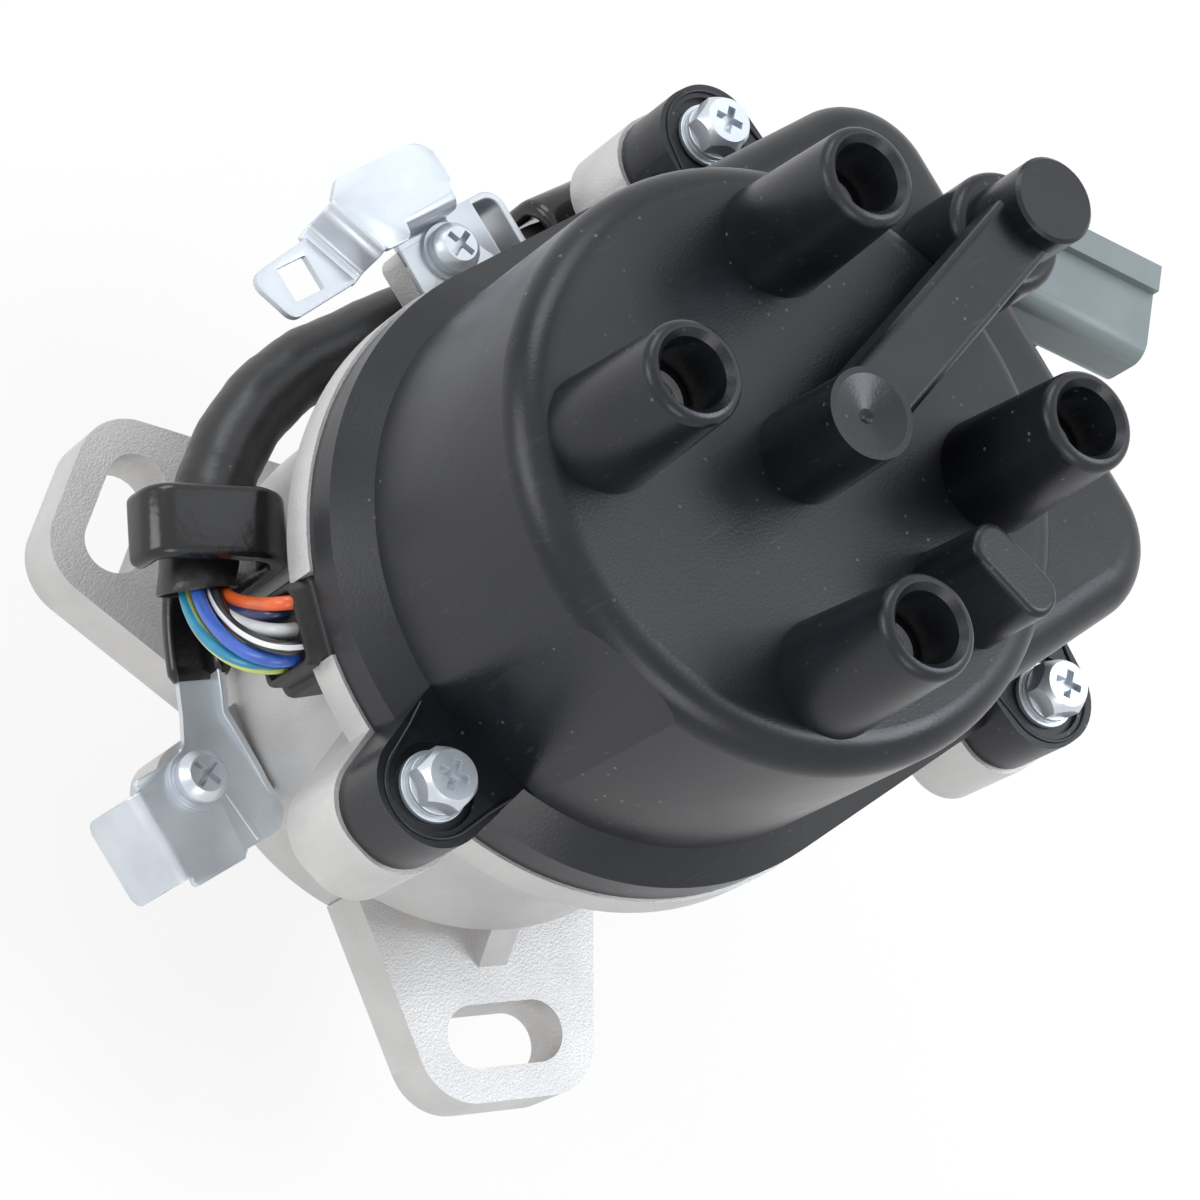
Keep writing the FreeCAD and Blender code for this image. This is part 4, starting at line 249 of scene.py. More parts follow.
def die_casting():
    """Pale aluminium die casting with a grainy skin and a few grey stains."""
    material, nodes, links, shader = new_material("die_casting", (0.57, 0.56, 0.55), 0.5, 0.5)
    grain = use_group(nodes, GRAIN, Fine_Scale=2600, Coarse_Scale=70, Coarse_Share=0.1)
    bump_from(nodes, links, shader, grain.outputs["Height"], 0.4, 0.0003)
    varied(nodes, links, shader, grain.outputs["Mask"], (0.53, 0.52, 0.515), (0.61, 0.60, 0.59))
    return material


def cap_moulding():
    """Black moulding with a soft sheen, fine scuffs and a little dust."""
    material, nodes, links, shader = new_material("cap_moulding", (0.009, 0.010, 0.013), 0.34)
    shader.inputs["Specular IOR Level"].default_value = 0.36
    grain = use_group(nodes, GRAIN, Fine_Scale=2200, Coarse_Scale=60, Coarse_Share=0.25)
    marks = use_group(nodes, MARKS, (-900, -300), Scuff_Amount=0.05, Dust_Amount=0.4)
    bump_from(nodes, links, shader, grain.outputs["Height"], 0.12, 0.0003)
    varied(nodes, links, shader, grain.outputs["Mask"], (0.008, 0.009, 0.012),
           (0.013, 0.014, 0.018))
    varied(nodes, links, shader, grain.outputs["Mask"], 0.27, 0.36, label="Roughness")
    overlay(nodes, links, shader, marks.outputs["Scuffs"], (0.30, 0.30, 0.31))
    overlay(nodes, links, shader, marks.outputs["Dust"], (0.35, 0.33, 0.30))
    return material


def zinc_plate():
    """Zinc plated sheet steel, bluish and slightly cloudy."""
    material, nodes, links, shader = new_material("zinc_plate", (0.70, 0.74, 0.78), 0.33, 0.62)
    grain = use_group(nodes, GRAIN, Fine_Scale=1300, Coarse_Scale=120, Coarse_Share=0.5)
    bump_from(nodes, links, shader, grain.outputs["Height"], 0.10, 0.0002)
    varied(nodes, links, shader, grain.outputs["Mask"], (0.57, 0.61, 0.66), (0.65, 0.69, 0.73))
    varied(nodes, links, shader, grain.outputs["Mask"], 0.28, 0.38, label="Roughness")
    return material


def plain_metal(name, colour, roughness, metallic=1.0):
    """Turned or stamped metal with a faint grain."""
    material, nodes, links, shader = new_material(name, colour, roughness, metallic)
    grain = use_group(nodes, GRAIN, Fine_Scale=1800, Coarse_Scale=120, Coarse_Share=0.3)
    bump_from(nodes, links, shader, grain.outputs["Height"], 0.1, 0.0002)
    dark = tuple(0.85 * part for part in colour)
    varied(nodes, links, shader, grain.outputs["Mask"], dark, colour)
    return material


def soft_vinyl(name, colour, roughness, wrinkle):
    """Vinyl or rubber with a faintly uneven skin."""
    material, nodes, links, shader = new_material(name, colour, roughness)
    grain = use_group(nodes, GRAIN, Fine_Scale=900, Coarse_Scale=130, Coarse_Share=0.7)
    marks = use_group(nodes, MARKS, (-900, -300), Scuff_Amount=0.05, Dust_Amount=0.35)
    bump_from(nodes, links, shader, grain.outputs["Height"], wrinkle, 0.0006)
    light = tuple(1.6 * part for part in colour)
    varied(nodes, links, shader, grain.outputs["Mask"], colour, light)
    overlay(nodes, links, shader, marks.outputs["Dust"], (0.30, 0.28, 0.25))
    return material


def moulded(name, colour, roughness, spread=0.12):
    """Plain moulded plastic with a faint grain and slight colour drift."""
    material, nodes, links, shader = new_material(name, colour, roughness)
    grain = use_group(nodes, GRAIN, Fine_Scale=1600, Coarse_Scale=90, Coarse_Share=0.3)
    bump_from(nodes, links, shader, grain.outputs["Height"], 0.15, 0.0002)
    dark = tuple((1 - spread) * part for part in colour)
    light = tuple(min(1, (1 + spread) * part) for part in colour)
    varied(nodes, links, shader, grain.outputs["Mask"], dark, light)
    return material


def insulation(name, colour, stripe=None, stripe_width=0.12, back_width=0.0, tracer=None):
    """Wire insulation, with a stripe on each side or one slanting tracer mark."""
    material, nodes, links, shader = new_material(name, colour, 0.33)
    shader.inputs["Coat Weight"].default_value = 0.25
    grain = use_group(nodes, GRAIN, Fine_Scale=1200, Coarse_Scale=260, Coarse_Share=0.6)
    bump_from(nodes, links, shader, grain.outputs["Height"], 0.15, 0.0002)
    dark = tuple(0.82 * part for part in colour)
    varied(nodes, links, shader, grain.outputs["Mask"], dark, colour)
    place = add(nodes, "ShaderNodeTexCoord", (-1300, 600))
    split = add(nodes, "ShaderNodeSeparateXYZ", (-1100, 600))
    links.new(place.outputs["UV"], split.inputs["Vector"])
    if stripe is not None:
        away = add(nodes, "ShaderNodeMath", (-900, 700), operation="SUBTRACT")
        links.new(split.outputs["Y"], away.inputs[0])
        away.inputs[1].default_value = 0.5
        size = add(nodes, "ShaderNodeMath", (-750, 700), operation="ABSOLUTE")
        links.new(away.outputs["Value"], size.inputs[0])
        for edge, inside in ((stripe_width + 0.012, stripe_width),
                             (0.488 - back_width, 0.5 - back_width)):
            mask = add(nodes, "ShaderNodeMapRange", (-600, 700))
            mask.inputs["From Min"].default_value = edge
            mask.inputs["From Max"].default_value = inside
            links.new(size.outputs["Value"], mask.inputs["Value"])
            overlay(nodes, links, shader, mask.outputs["Result"], stripe)
    if tracer is not None:
        colour, along, round_it, slant = tracer
        mark = add(nodes, "ShaderNodeMapping", (-1000, 500), vector_type="TEXTURE")
        mark.inputs["Location"].default_value = (along, round_it, 0)
        mark.inputs["Rotation"].default_value = (0, 0, slant)
        mark.inputs["Scale"].default_value = (0.34, 0.05, 1)
        length = add(nodes, "ShaderNodeVectorMath", (-800, 500), operation="LENGTH")
        mask = add(nodes, "ShaderNodeMapRange", (-600, 500))
        mask.inputs["From Min"].default_value = 1.1
        mask.inputs["From Max"].default_value = 0.6
        mask.inputs["To Max"].default_value = 0.8
        links.new(place.outputs["UV"], mark.inputs["Vector"])
        links.new(mark.outputs["Vector"], length.inputs[0])
        links.new(length.outputs["Value"], mask.inputs["Value"])
        overlay(nodes, links, shader, mask.outputs["Result"], colour)
    return material


CASTING = die_casting()
CAP = cap_moulding()
ZINC = zinc_plate()
STEEL = plain_metal("turned_steel", (0.46, 0.46, 0.47), 0.32)
BRASS = plain_metal("brass", (0.66, 0.48, 0.22), 0.3)
BRONZE = plain_metal("sintered_bronze", (0.42, 0.28, 0.16), 0.5)
SHEET_ALUMINIUM = plain_metal("sheet_aluminium", (0.72, 0.72, 0.72), 0.4)
INSERT = plain_metal("cast_insert", (0.82, 0.82, 0.82), 0.45, metallic=0.35)
VINYL = soft_vinyl("dipped_vinyl", (0.006, 0.006, 0.007), 0.2, 0.25)
SLEEVE = soft_vinyl("sleeve_vinyl", (0.010, 0.010, 0.011), 0.38, 0.35)
RUBBER = soft_vinyl("black_rubber", (0.012, 0.012, 0.012), 0.5, 0.3)
PHENOLIC = moulded("brown_phenolic", (0.06, 0.025, 0.015), 0.4)
EPOXY = moulded("potting_resin", (0.02, 0.02, 0.022), 0.3)
CARBON = moulded("pressed_carbon", (0.03, 0.03, 0.03), 0.6)
GREY = moulded("grey_moulding", (0.20, 0.235, 0.235), 0.42, 0.06)

NODE_MATERIALS = {
    "housing": CASTING, "distributor_cap": CAP, "lower_bracket": ZINC,
    "upper_bracket": ZINC, "connector_bracket": ZINC, "bracket_screws": ZINC,
    "cap_screws": ZINC, "cap_washers": ZINC, "shaft_bush": BRONZE,
    "plug_terminals": INSERT, "rotor_blade": BRASS, "connector_blades": BRASS,
    "coil_to_brush_lead": BRASS, "pilot_o_ring": RUBBER, "oil_seal": RUBBER,
    "cap_seal": RUBBER, "harness_grommet": RUBBER, "harness_sleeve": SLEEVE,
    "lower_hook_coating": VINYL, "upper_hook_coating": VINYL, "rotor": PHENOLIC,
    "dust_shield": PHENOLIC, "crank_angle_pickup": PHENOLIC, "top_centre_pickup": PHENOLIC,
    "cylinder_pickup": PHENOLIC, "ignition_coil": EPOXY, "igniter_module": EPOXY,
    "igniter_heat_sink": SHEET_ALUMINIUM, "carbon_brush": CARBON,
    "connector_housing": GREY, "sleeved_wire_bundle": RUBBER,
}
WIRE_MATERIALS = {
    "wire_orange": insulation("orange_wire", (0.80, 0.13, 0.025)),
    "wire_navy": insulation("navy_wire", (0.012, 0.02, 0.09)),
    "wire_grey": insulation("grey_wire", (0.62, 0.64, 0.65)),
    "wire_black_white": insulation("black_white_wire", (0.02, 0.02, 0.022), (0.80, 0.80, 0.80),
                                   0.055, 0.05, ((0.30, 0.06, 0.12), 1.75, 0.60, 0.12)),
    "wire_blue": insulation("blue_wire", (0.045, 0.13, 0.55),
                            tracer=((0.28, 0.05, 0.22), 0.85, 0.40, 0.25)),
    "wire_yellow_green": insulation("yellow_green_wire", (0.55, 0.60, 0.08)),
    "wire_teal": insulation("teal_wire", (0.02, 0.27, 0.43), (0.56, 0.58, 0.12), 0.12, 0.07),
    "lead_red": insulation("red_lead", (0.50, 0.03, 0.02)),
    "lead_white": insulation("white_lead", (0.70, 0.70, 0.68)),
    "lead_black": insulation("black_lead", (0.02, 0.02, 0.02)),
    "lead_blue": insulation("blue_lead", (0.04, 0.12, 0.50)),
}


def dress(node, material):
    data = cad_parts[node].data
    data.materials.clear()
    data.materials.append(material)


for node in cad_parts:
    dress(node, {**NODE_MATERIALS, **WIRE_MATERIALS}.get(node, STEEL))


# Rounded edges on the plain solids

def soften(node, width):
    """Merges the mesh along its seams and rounds its sharp edges."""
    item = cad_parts[node]
    weld = item.modifiers.new("joined", "WELD")
    weld.merge_threshold = 0.00001
    bevel = item.modifiers.new("rounded", "BEVEL")
    bevel.width = width * MM
    bevel.segments = 2
    bevel.limit_method = "ANGLE"
    bevel.angle_limit = math.radians(35)
    bevel.harden_normals = True
    bevel.use_clamp_overlap = True


for node, width in (("housing", 0.55), ("connector_bracket", 0.3), ("connector_housing", 0.4),
                    ("cap_screws", 0.22), ("cap_washers", 0.15), ("bracket_screws", 0.22)):
    soften(node, width)


# Swept pieces: insulated wires, sleeve and dipped hooks

def finish(name, shape, material, rides, covers, sharp=50):
    """Puts a finished shape in the scene in place of the plain nodes it covers."""
    bmesh.ops.recalc_face_normals(shape, faces=shape.faces)
    data = bpy.data.meshes.new(name)
    shape.to_mesh(data)
    shape.free()
    data.shade_smooth()
    data.set_sharp_from_angle(angle=math.radians(sharp))
    data.materials.append(material)
    piece = bpy.data.objects.new(name, data)
    scene.collection.objects.link(piece)
    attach(piece, rides)
    if covers:
        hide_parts(*covers)
    return piece


def polar(angle, radius, height):
    turn = math.radians(angle)
    return Vector((radius * math.cos(turn), radius * math.sin(turn), height))


def bent(points, radius, steps=8):
    """Points of a route whose corners are rounded with arcs."""
    points = [Vector(point) for point in points]
    route = [points[0]]
    for before, corner, after in zip(points, points[1:], points[2:]):
        back = (before - corner).normalized()
        ahead = (after - corner).normalized()
        half = (math.pi - back.angle(ahead)) / 2
        reach = min(radius * math.tan(half), 0.48 * (before - corner).length,
                    0.48 * (after - corner).length)
        depth = reach / math.tan(half)
        first = corner + back * reach
        centre = corner + (back + ahead).normalized() * math.hypot(reach, depth)
        start = (first - centre).normalized()
        last = (corner + ahead * reach - centre).normalized()
        for step in range(steps + 1):
            route.append(centre + start.slerp(last, step / steps) * depth)
    route.append(points[-1])
    return route


def bezier(first, ahead, behind, last):
    """Smooth curve that leaves one point and meets another in given directions."""
    points = []
    count = 36
    for step in range(count + 1):
        share = step / count
        rest = 1 - share
        points.append(first * rest ** 3 + (first + ahead) * 3 * rest * rest * share
                      + (last + behind) * 3 * rest * share * share + last * share ** 3)
    return points


def carried(points, side):
    """Direction, side and top at every point, turned as little as possible."""
    frames = []
    for number in range(len(points)):
        ahead = (points[min(number + 1, len(points) - 1)]
                 - points[max(number - 1, 0)]).normalized()
        side = (side - ahead * side.dot(ahead)).normalized()
        frames.append((ahead, side, ahead.cross(side)))
    return frames


def lofted(shape, loops, lengths):
    """Closed skin through loops of points, with distance along and round as its map."""
    layer = shape.loops.layers.uv.verify()
    rings = [[shape.verts.new(point * MM) for point in loop] for loop in loops]
    sides = len(rings[0])
    for number in range(len(rings) - 1):
        for corner in range(sides):
            after = (corner + 1) % sides
            face = shape.faces.new((rings[number][corner], rings[number][after],
                                    rings[number + 1][after], rings[number + 1][corner]))
            places = ((number, corner), (number, corner + 1), (number + 1, corner + 1),
                      (number + 1, corner))
            for loop, (row, column) in zip(face.loops, places):
                loop[layer].uv = (lengths[row], column / sides)
    shape.faces.new(rings[0][::-1])
    shape.faces.new(rings[-1])


def distances(points):
    total = [0]
    for before, after in zip(points, points[1:]):
        total.append(total[-1] + (after - before).length / 10)
    return total


def round_loop(centre, side, top, radius, sides=20, turn=0):
    loop = []
    for corner in range(sides):
        angle = turn + 2 * math.pi * corner / sides
        loop.append(centre + side * (radius * math.cos(angle)) + top * (radius * math.sin(angle)))
    return loop


def wire(name, points, radius, side, turn, twist, material):
    """One insulated wire in place of the plain one, twisted a little along its length."""
    shape = bmesh.new()
    frames = carried(points, side)
    loops = [round_loop(point, across, top, radius, 20, turn + twist * number / len(points))
             for number, (point, (ahead, across, top)) in enumerate(zip(points, frames))]
    lofted(shape, loops, distances(points))
    return finish(name.replace("wire", "insulated"), shape, material, "body", [name])


MOUTH_ANGLE = 147.8
MOUTH_CIRCLE = 52.3
HARNESS_LEVEL = 34
GROMMET_ANGLE = 161
GROMMET_CIRCLE = 48.3
HARNESS_CIRCLE = 51.5
BEND_ANGLE = 125
BEND_CENTRE_CIRCLE = 11.5
BEND_RADIUS = 40
BEND_TURN = 37.5
STRAIGHT_ANGLE = -2.5
STRAIGHT_STEP = 2.275
SLEEVE_RADIUS = 5.75
SLEEVE_MOUTH_RADIUS = 5.35
SLEEVE_BORE_RADIUS = 4.95
SLEEVE_SIDES = 40
WIRE_RADIUS = 0.99

# For each wire: its seat in the mouth and its goal in the grommet, how far it runs
# on out of the first and into the second, and its turn and twist in radians
WIRES = {
    "wire_teal": ((2.3, 1.0), (3.9, 48.4), 6.2, 8.6, 1.40, -0.9),
    "wire_yellow_green": ((0.6, 0.0), (1.6, 50.0), 5.0, 6.0, 0, 0),
    "wire_blue": ((1.5, 3.1), (4.0, 52.0), 5.4, 8.4, 0.4, 0.3),
    "wire_black_white": ((-0.7, 3.6), (3.2, 55.0), 4.6, 7.4, 3.1, -0.1),
    "wire_orange": ((-3.0, 2.4), (-3.0, 56.0), 3.0, 4.4, 0, 0),
    "wire_grey": ((-1.0, 1.4), (0.2, 53.6), 4.0, 5.4, 0, 0),
    "wire_navy": ((-3.0, 0.2), (-2.6, 52.2), 3.2, 4.4, 0, 0),
}


def mouth_frame():
    outward = polar(MOUTH_ANGLE, 1, 0)
    along = polar(MOUTH_ANGLE + 90, 1, 0)
    return polar(MOUTH_ANGLE, MOUTH_CIRCLE, HARNESS_LEVEL), outward, along


def harness_wires():
    """Seven wires that fan out of the sleeve and dive into the grommet."""
    centre, outward, along = mouth_frame()
    inward = polar(GROMMET_ANGLE, -1, 0)
    sideways = polar(GROMMET_ANGLE + 90, 1, 0)
    for name, (seat, goal, leave, arrive, turn, twist) in WIRES.items():
        first = centre + outward * seat[0] + UP * seat[1] - along * 0.5
        last = polar(GROMMET_ANGLE, GROMMET_CIRCLE + 1, goal[1]) + sideways * goal[0]
        curve = bezier(first, along * leave, inward * -arrive, last)
        points = [first - along * 4.5, first - along * 2.2] + curve + [last + inward * 1.4]
        wire(name, points, WIRE_RADIUS, outward, turn, twist, WIRE_MATERIALS[name])


def harness_route():
    """Centre line of the sleeve, from its mouth back past the coil chamber."""
    points = []
    for number in range(25):
        angle = MOUTH_ANGLE - number * (MOUTH_ANGLE - BEND_ANGLE) / 24
        circle = HARNESS_CIRCLE + (MOUTH_CIRCLE - HARNESS_CIRCLE) * (1 - number / 24) ** 2
        points.append(polar(angle, circle, HARNESS_LEVEL))
    centre = polar(BEND_ANGLE, BEND_CENTRE_CIRCLE, HARNESS_LEVEL)
    for number in range(1, 19):
        points.append(centre + polar(BEND_ANGLE - number * BEND_TURN / 18, BEND_RADIUS, 0))
    ahead = polar(STRAIGHT_ANGLE, 1, 0)
    start = points[-1]
    for number in range(1, 26):
        points.append(start + ahead * (number * STRAIGHT_STEP))
    return points


def mouth_slant(angle):
    """How far back the sleeve is cut at an angle round its mouth."""
    return 0.1 - 1.5 * math.cos(angle) - 1.1 * math.sin(angle)


def sleeve():
    """Vinyl sleeve, a little uneven, with an open mouth and a thin wall."""
    points = harness_route()
    frames = carried(points, polar(MOUTH_ANGLE, 1, 0))
    shape = bmesh.new()
    outer = []
    for number, (point, (ahead, side, top)) in enumerate(zip(points, frames)):
        loop = []
        for corner in range(SLEEVE_SIDES):
            angle = 2 * math.pi * corner / SLEEVE_SIDES
            radius = SLEEVE_RADIUS - 0.10 * (1 + math.sin(0.9 * number + 2 * angle))
            radius -= 0.06 * math.sin(2.3 * number) * math.sin(3 * angle + 1)
            slant = mouth_slant(angle) * max(0, 1 - number / 4)
            loop.append(point + ahead * slant + side * (radius * math.cos(angle))
                        + top * (radius * math.sin(angle)))
        outer.append(loop)
    inner = []
    for number in (0, 0, 1, 2, 5):
        ahead, side, top = frames[number]
        radius = SLEEVE_BORE_RADIUS if inner else SLEEVE_MOUTH_RADIUS
        loop = []
        for corner in range(SLEEVE_SIDES):
            angle = 2 * math.pi * corner / SLEEVE_SIDES
            slant = mouth_slant(angle) * max(0, 1 - number / 4) - (0 if inner else 0.18)
            loop.append(points[number] + ahead * slant + side * (radius * math.cos(angle))
                        + top * (radius * math.sin(angle)))
        inner.append(loop)
    loops = inner[::-1] + outer
    middles = [sum(loop, Vector()) / SLEEVE_SIDES for loop in loops]
    lofted(shape, loops, distances(middles))
    finish("sleeve_skin", shape, SLEEVE, "body", ["harness_sleeve"])


def rounded_section(width, thick, corner, steps=5):
    """Corners of a rounded rectangle about its centre, anticlockwise."""
    places = []
    for number, (x, y) in enumerate(((1, 1), (-1, 1), (-1, -1), (1, -1))):
        for step in range(steps + 1):
            angle = math.pi / 2 * (number + step / steps)
            places.append((x * (width / 2 - corner) + corner * math.cos(angle),
                           y * (thick / 2 - corner) + corner * math.sin(angle)))
    return places


def band(shape, points, side, width, thick, corner):
    """Solid band along a route, its edges and both ends rounded."""
    frames = carried(points, side)
    across = side.normalized()
    loops = []
    lengths = []
    rows = []
    end = corner * 0.95
    for step in range(5):
        angle = math.pi / 2 * step / 4
        rows.append((0, -end * math.cos(angle), end * (1 - math.sin(angle))))
    rows += [(number, 0, 0) for number in range(1, len(points) - 1)]
    for step in range(4, -1, -1):
        angle = math.pi / 2 * step / 4
        rows.append((len(points) - 1, end * math.cos(angle), end * (1 - math.sin(angle))))
    for number, shift, less in rows:
        ahead = frames[number][0]
        top = ahead.cross(across).normalized()
        section = rounded_section(width - 2 * less, thick - 2 * less,
                                  max(0.02, corner - less))
        loops.append([points[number] + ahead * shift + across * x + top * y
                      for x, y in section])
        lengths.append(len(loops) * 0.1)
    lofted(shape, loops, lengths)


def hook_one():
    """Black dipped claw over the sleeve and the dipped end of its arm."""
    centre = polar(139.5, HARNESS_CIRCLE, HARNESS_LEVEL)
    outward = polar(149, 1, 0)
    side = polar(149 + 90, 1, 0)
    flat = [(11.0, 2.2), (10.6, 7.4), (-8.0, 10.8), (-8.3, -13.6)]
    route = bent([centre + outward * x + UP * z for x, z in flat], 4.4, 10)
    shape = bmesh.new()
    band(shape, route, side, 11.0, 3.1, 1.45)
    strip = [polar(157.9 - number * 1.4, 46.5, 19.6) for number in range(15)]
    arc_band(shape, strip, 8.6, 2.7, 1.1)
    rail_heights = [5.0 + 0.05 * number for number in range(15)]
    edge = [polar(157.9 - number * 1.4, 43.6, 0) for number in range(15)]
    rail(shape, edge, rail_heights, 18.6, 2.8, 1.1)
    finish("hook_one_vinyl", shape, VINYL, "body", ["lower_hook_coating"])


def rail(shape, points, heights, bottom, thick, corner):
    """Upright strip along a route seen from above, with its own height at each point."""
    frames = carried(points, polar(0, 1, 0))
    loops = []
    last = len(points) - 1
    for number, (point, height) in enumerate(zip(points, heights)):
        across = frames[number][0].cross(UP).normalized()
        less = corner * 0.6 if number in (0, last) else 0
        middle = Vector((point.x, point.y, bottom + height / 2))
        section = rounded_section(thick - 2 * less, height - 2 * less, max(0.05, corner - less))
        loops.append([middle + across * x + UP * y for x, y in section])
    middles = [sum(loop, Vector()) / len(loop) for loop in loops]
    lofted(shape, loops, distances(middles))


def outline(corners, steps=5):
    """Closed outline whose corners are each rounded to their own radius."""
    places = []
    count = len(corners)
    for number, (x, y, radius) in enumerate(corners):
        corner = Vector((x, y, 0))
        before = Vector((*corners[number - 1][:2], 0))
        after = Vector((*corners[(number + 1) % count][:2], 0))
        if radius < 0.05:
            places.append((x, y))
            continue
        for point in bent([before, corner, after], radius, steps)[1:-1]:
            places.append((point.x, point.y))
    return places


def slab(shape, places, low, high, edge, origin=(0, 0, 0), axes=None):
    """Flat plate of an outline, its rims rounded, laid in its own directions."""
    if axes is None:
        axes = (Vector((1, 0, 0)), Vector((0, 1, 0)), Vector((0, 0, 1)))
    origin = Vector(origin)

    def spot(x, y, z):
        return (origin + axes[0] * x + axes[1] * y + axes[2] * z) * MM

    under = [shape.verts.new(spot(x, y, low)) for x, y in places]
    over = [shape.verts.new(spot(x, y, high)) for x, y in places]
    base = shape.faces.new(under[::-1])
    lid = shape.faces.new(over)
    count = len(places)
    for number in range(count):
        after = (number + 1) % count
        shape.faces.new((under[number], under[after], over[after], over[number]))
    rims = list(base.edges) + list(lid.edges)
    bmesh.ops.bevel(shape, geom=rims, offset=edge * MM, segments=2, profile=0.5,
                    affect="EDGES", material=-1, clamp_overlap=True)


BENT_THICK = 1.17
LOWER_PLATE = (19.0, 20.2)
UPPER_PLATE = (47.0, 48.2)
UPPER_PLATE_MIDDLE = 47.6
SHADE = (51.8, 53.0)
SHADE_MIDDLE = 52.4


def lower_bracket():
    """Plated sheet bracket: arm, screwed plate, bent tab and a low upturned edge."""
    shape = bmesh.new()
    inner = [polar(angle, 43.5, 0) for angle in (158, 152, 146, 140)]
    outer = [polar(angle, 49.7, 0) for angle in (140, 146, 152, 157)]
    corners = [(-60.8, 9.5, 0.7), (-60.8, 8.0, 0), (-60.3, 8.0, 0), (-60.3, -6.3, 0),
               (-60.8, -6.3, 0), (-60.8, -7.9, 0.6), (-51.3, -8.0, 0.6), (-51.0, -7.0, 0.5),
               (-41.7, -7.0, 3.6), (-41.7, 4.0, 4), (-42.3, 12.0, 5)]
    corners += [(point.x, point.y, 0) for point in inner]
    corners += [(point.x, point.y, 0) for point in outer]
    corners += [(-48.4, 14.2, 4), (-51.3, 9.4, 2.0)]
    slab(shape, outline(corners), *LOWER_PLATE, 0.22)
    edge = [polar(angle, 44.1, 0) for angle in (140, 146, 152, 157, 161)]
    edge += [Vector((-42.75, 11.6, 0)), Vector((-42.4, 7.0, 0)), Vector((-42.3, 2.0, 0)),
             Vector((-42.3, -2.6, 0))]
    rail(shape, edge, [4.6, 4.6, 4.4, 4.0, 3.5, 2.6, 2.0, 1.6, 1.2], 19.1, 1.2, 0.3)
    side = Vector((0, 1, 0))
    bend = bent([Vector((-59.6, 0.8, 19.58)), Vector((-62.2, 0.8, 19.58)),
                 Vector((-62.75, 0.8, 16.4))], 1.5, 6)
    band(shape, bend, side, 14.2, BENT_THICK, 0.25)
    lean = Vector((-0.17, 0, -1)).normalized()
    tab = outline([(-7.1, -0.6, 0), (7.1, -0.6, 0), (7.1, 8.6, 1.6), (-7.1, 8.6, 1.6)])
    slab(shape, tab, -0.58, 0.58, 0.22, (-62.66, 0.8, 17.0), (side, lean, side.cross(lean)))
    crease = [Vector((-48.9, 3.4, 20.12)), Vector((-48.5, -1.5, 20.12)),
              Vector((-48.1, -6.4, 20.12))]
    band(shape, crease, Vector((1, 0, 0)), 0.9, 0.55, 0.26)
    finish("lower_bracket_sheet", shape, ZINC, "body", ["lower_bracket"], 40)


def holed_slab(shape, places, hole, low, high, edge):
    """Flat plate with a hole through it, all four rims rounded."""
    part = bmesh.new()
    rims = []
    for loop in (places, hole):
        verts = [part.verts.new(Vector((x, y, low)) * MM) for x, y in loop]
        count = len(verts)
        rims += [part.edges.new((verts[number], verts[(number + 1) % count]))
                 for number in range(count)]
    bmesh.ops.triangle_fill(part, use_beauty=True, use_dissolve=False, edges=rims)
    grown = bmesh.ops.extrude_face_region(part, geom=list(part.faces), use_keep_orig=True)
    moved = [item for item in grown["geom"] if isinstance(item, bmesh.types.BMVert)]
    bmesh.ops.translate(part, verts=moved, vec=(0, 0, (high - low) * MM))
    bmesh.ops.recalc_face_normals(part, faces=part.faces)
    sharp = [item for item in part.edges
             if len(item.link_faces) == 2 and item.calc_face_angle(0) > 1.3
             and abs(item.verts[0].co.z - item.verts[1].co.z) < 0.00001]
    bmesh.ops.bevel(part, geom=sharp, offset=edge * MM, segments=2, profile=0.5,
                    affect="EDGES", material=-1, clamp_overlap=True)
    data = bpy.data.meshes.new("holed_plate")
    part.to_mesh(data)
    part.free()
    shape.from_mesh(data)
    bpy.data.meshes.remove(data)


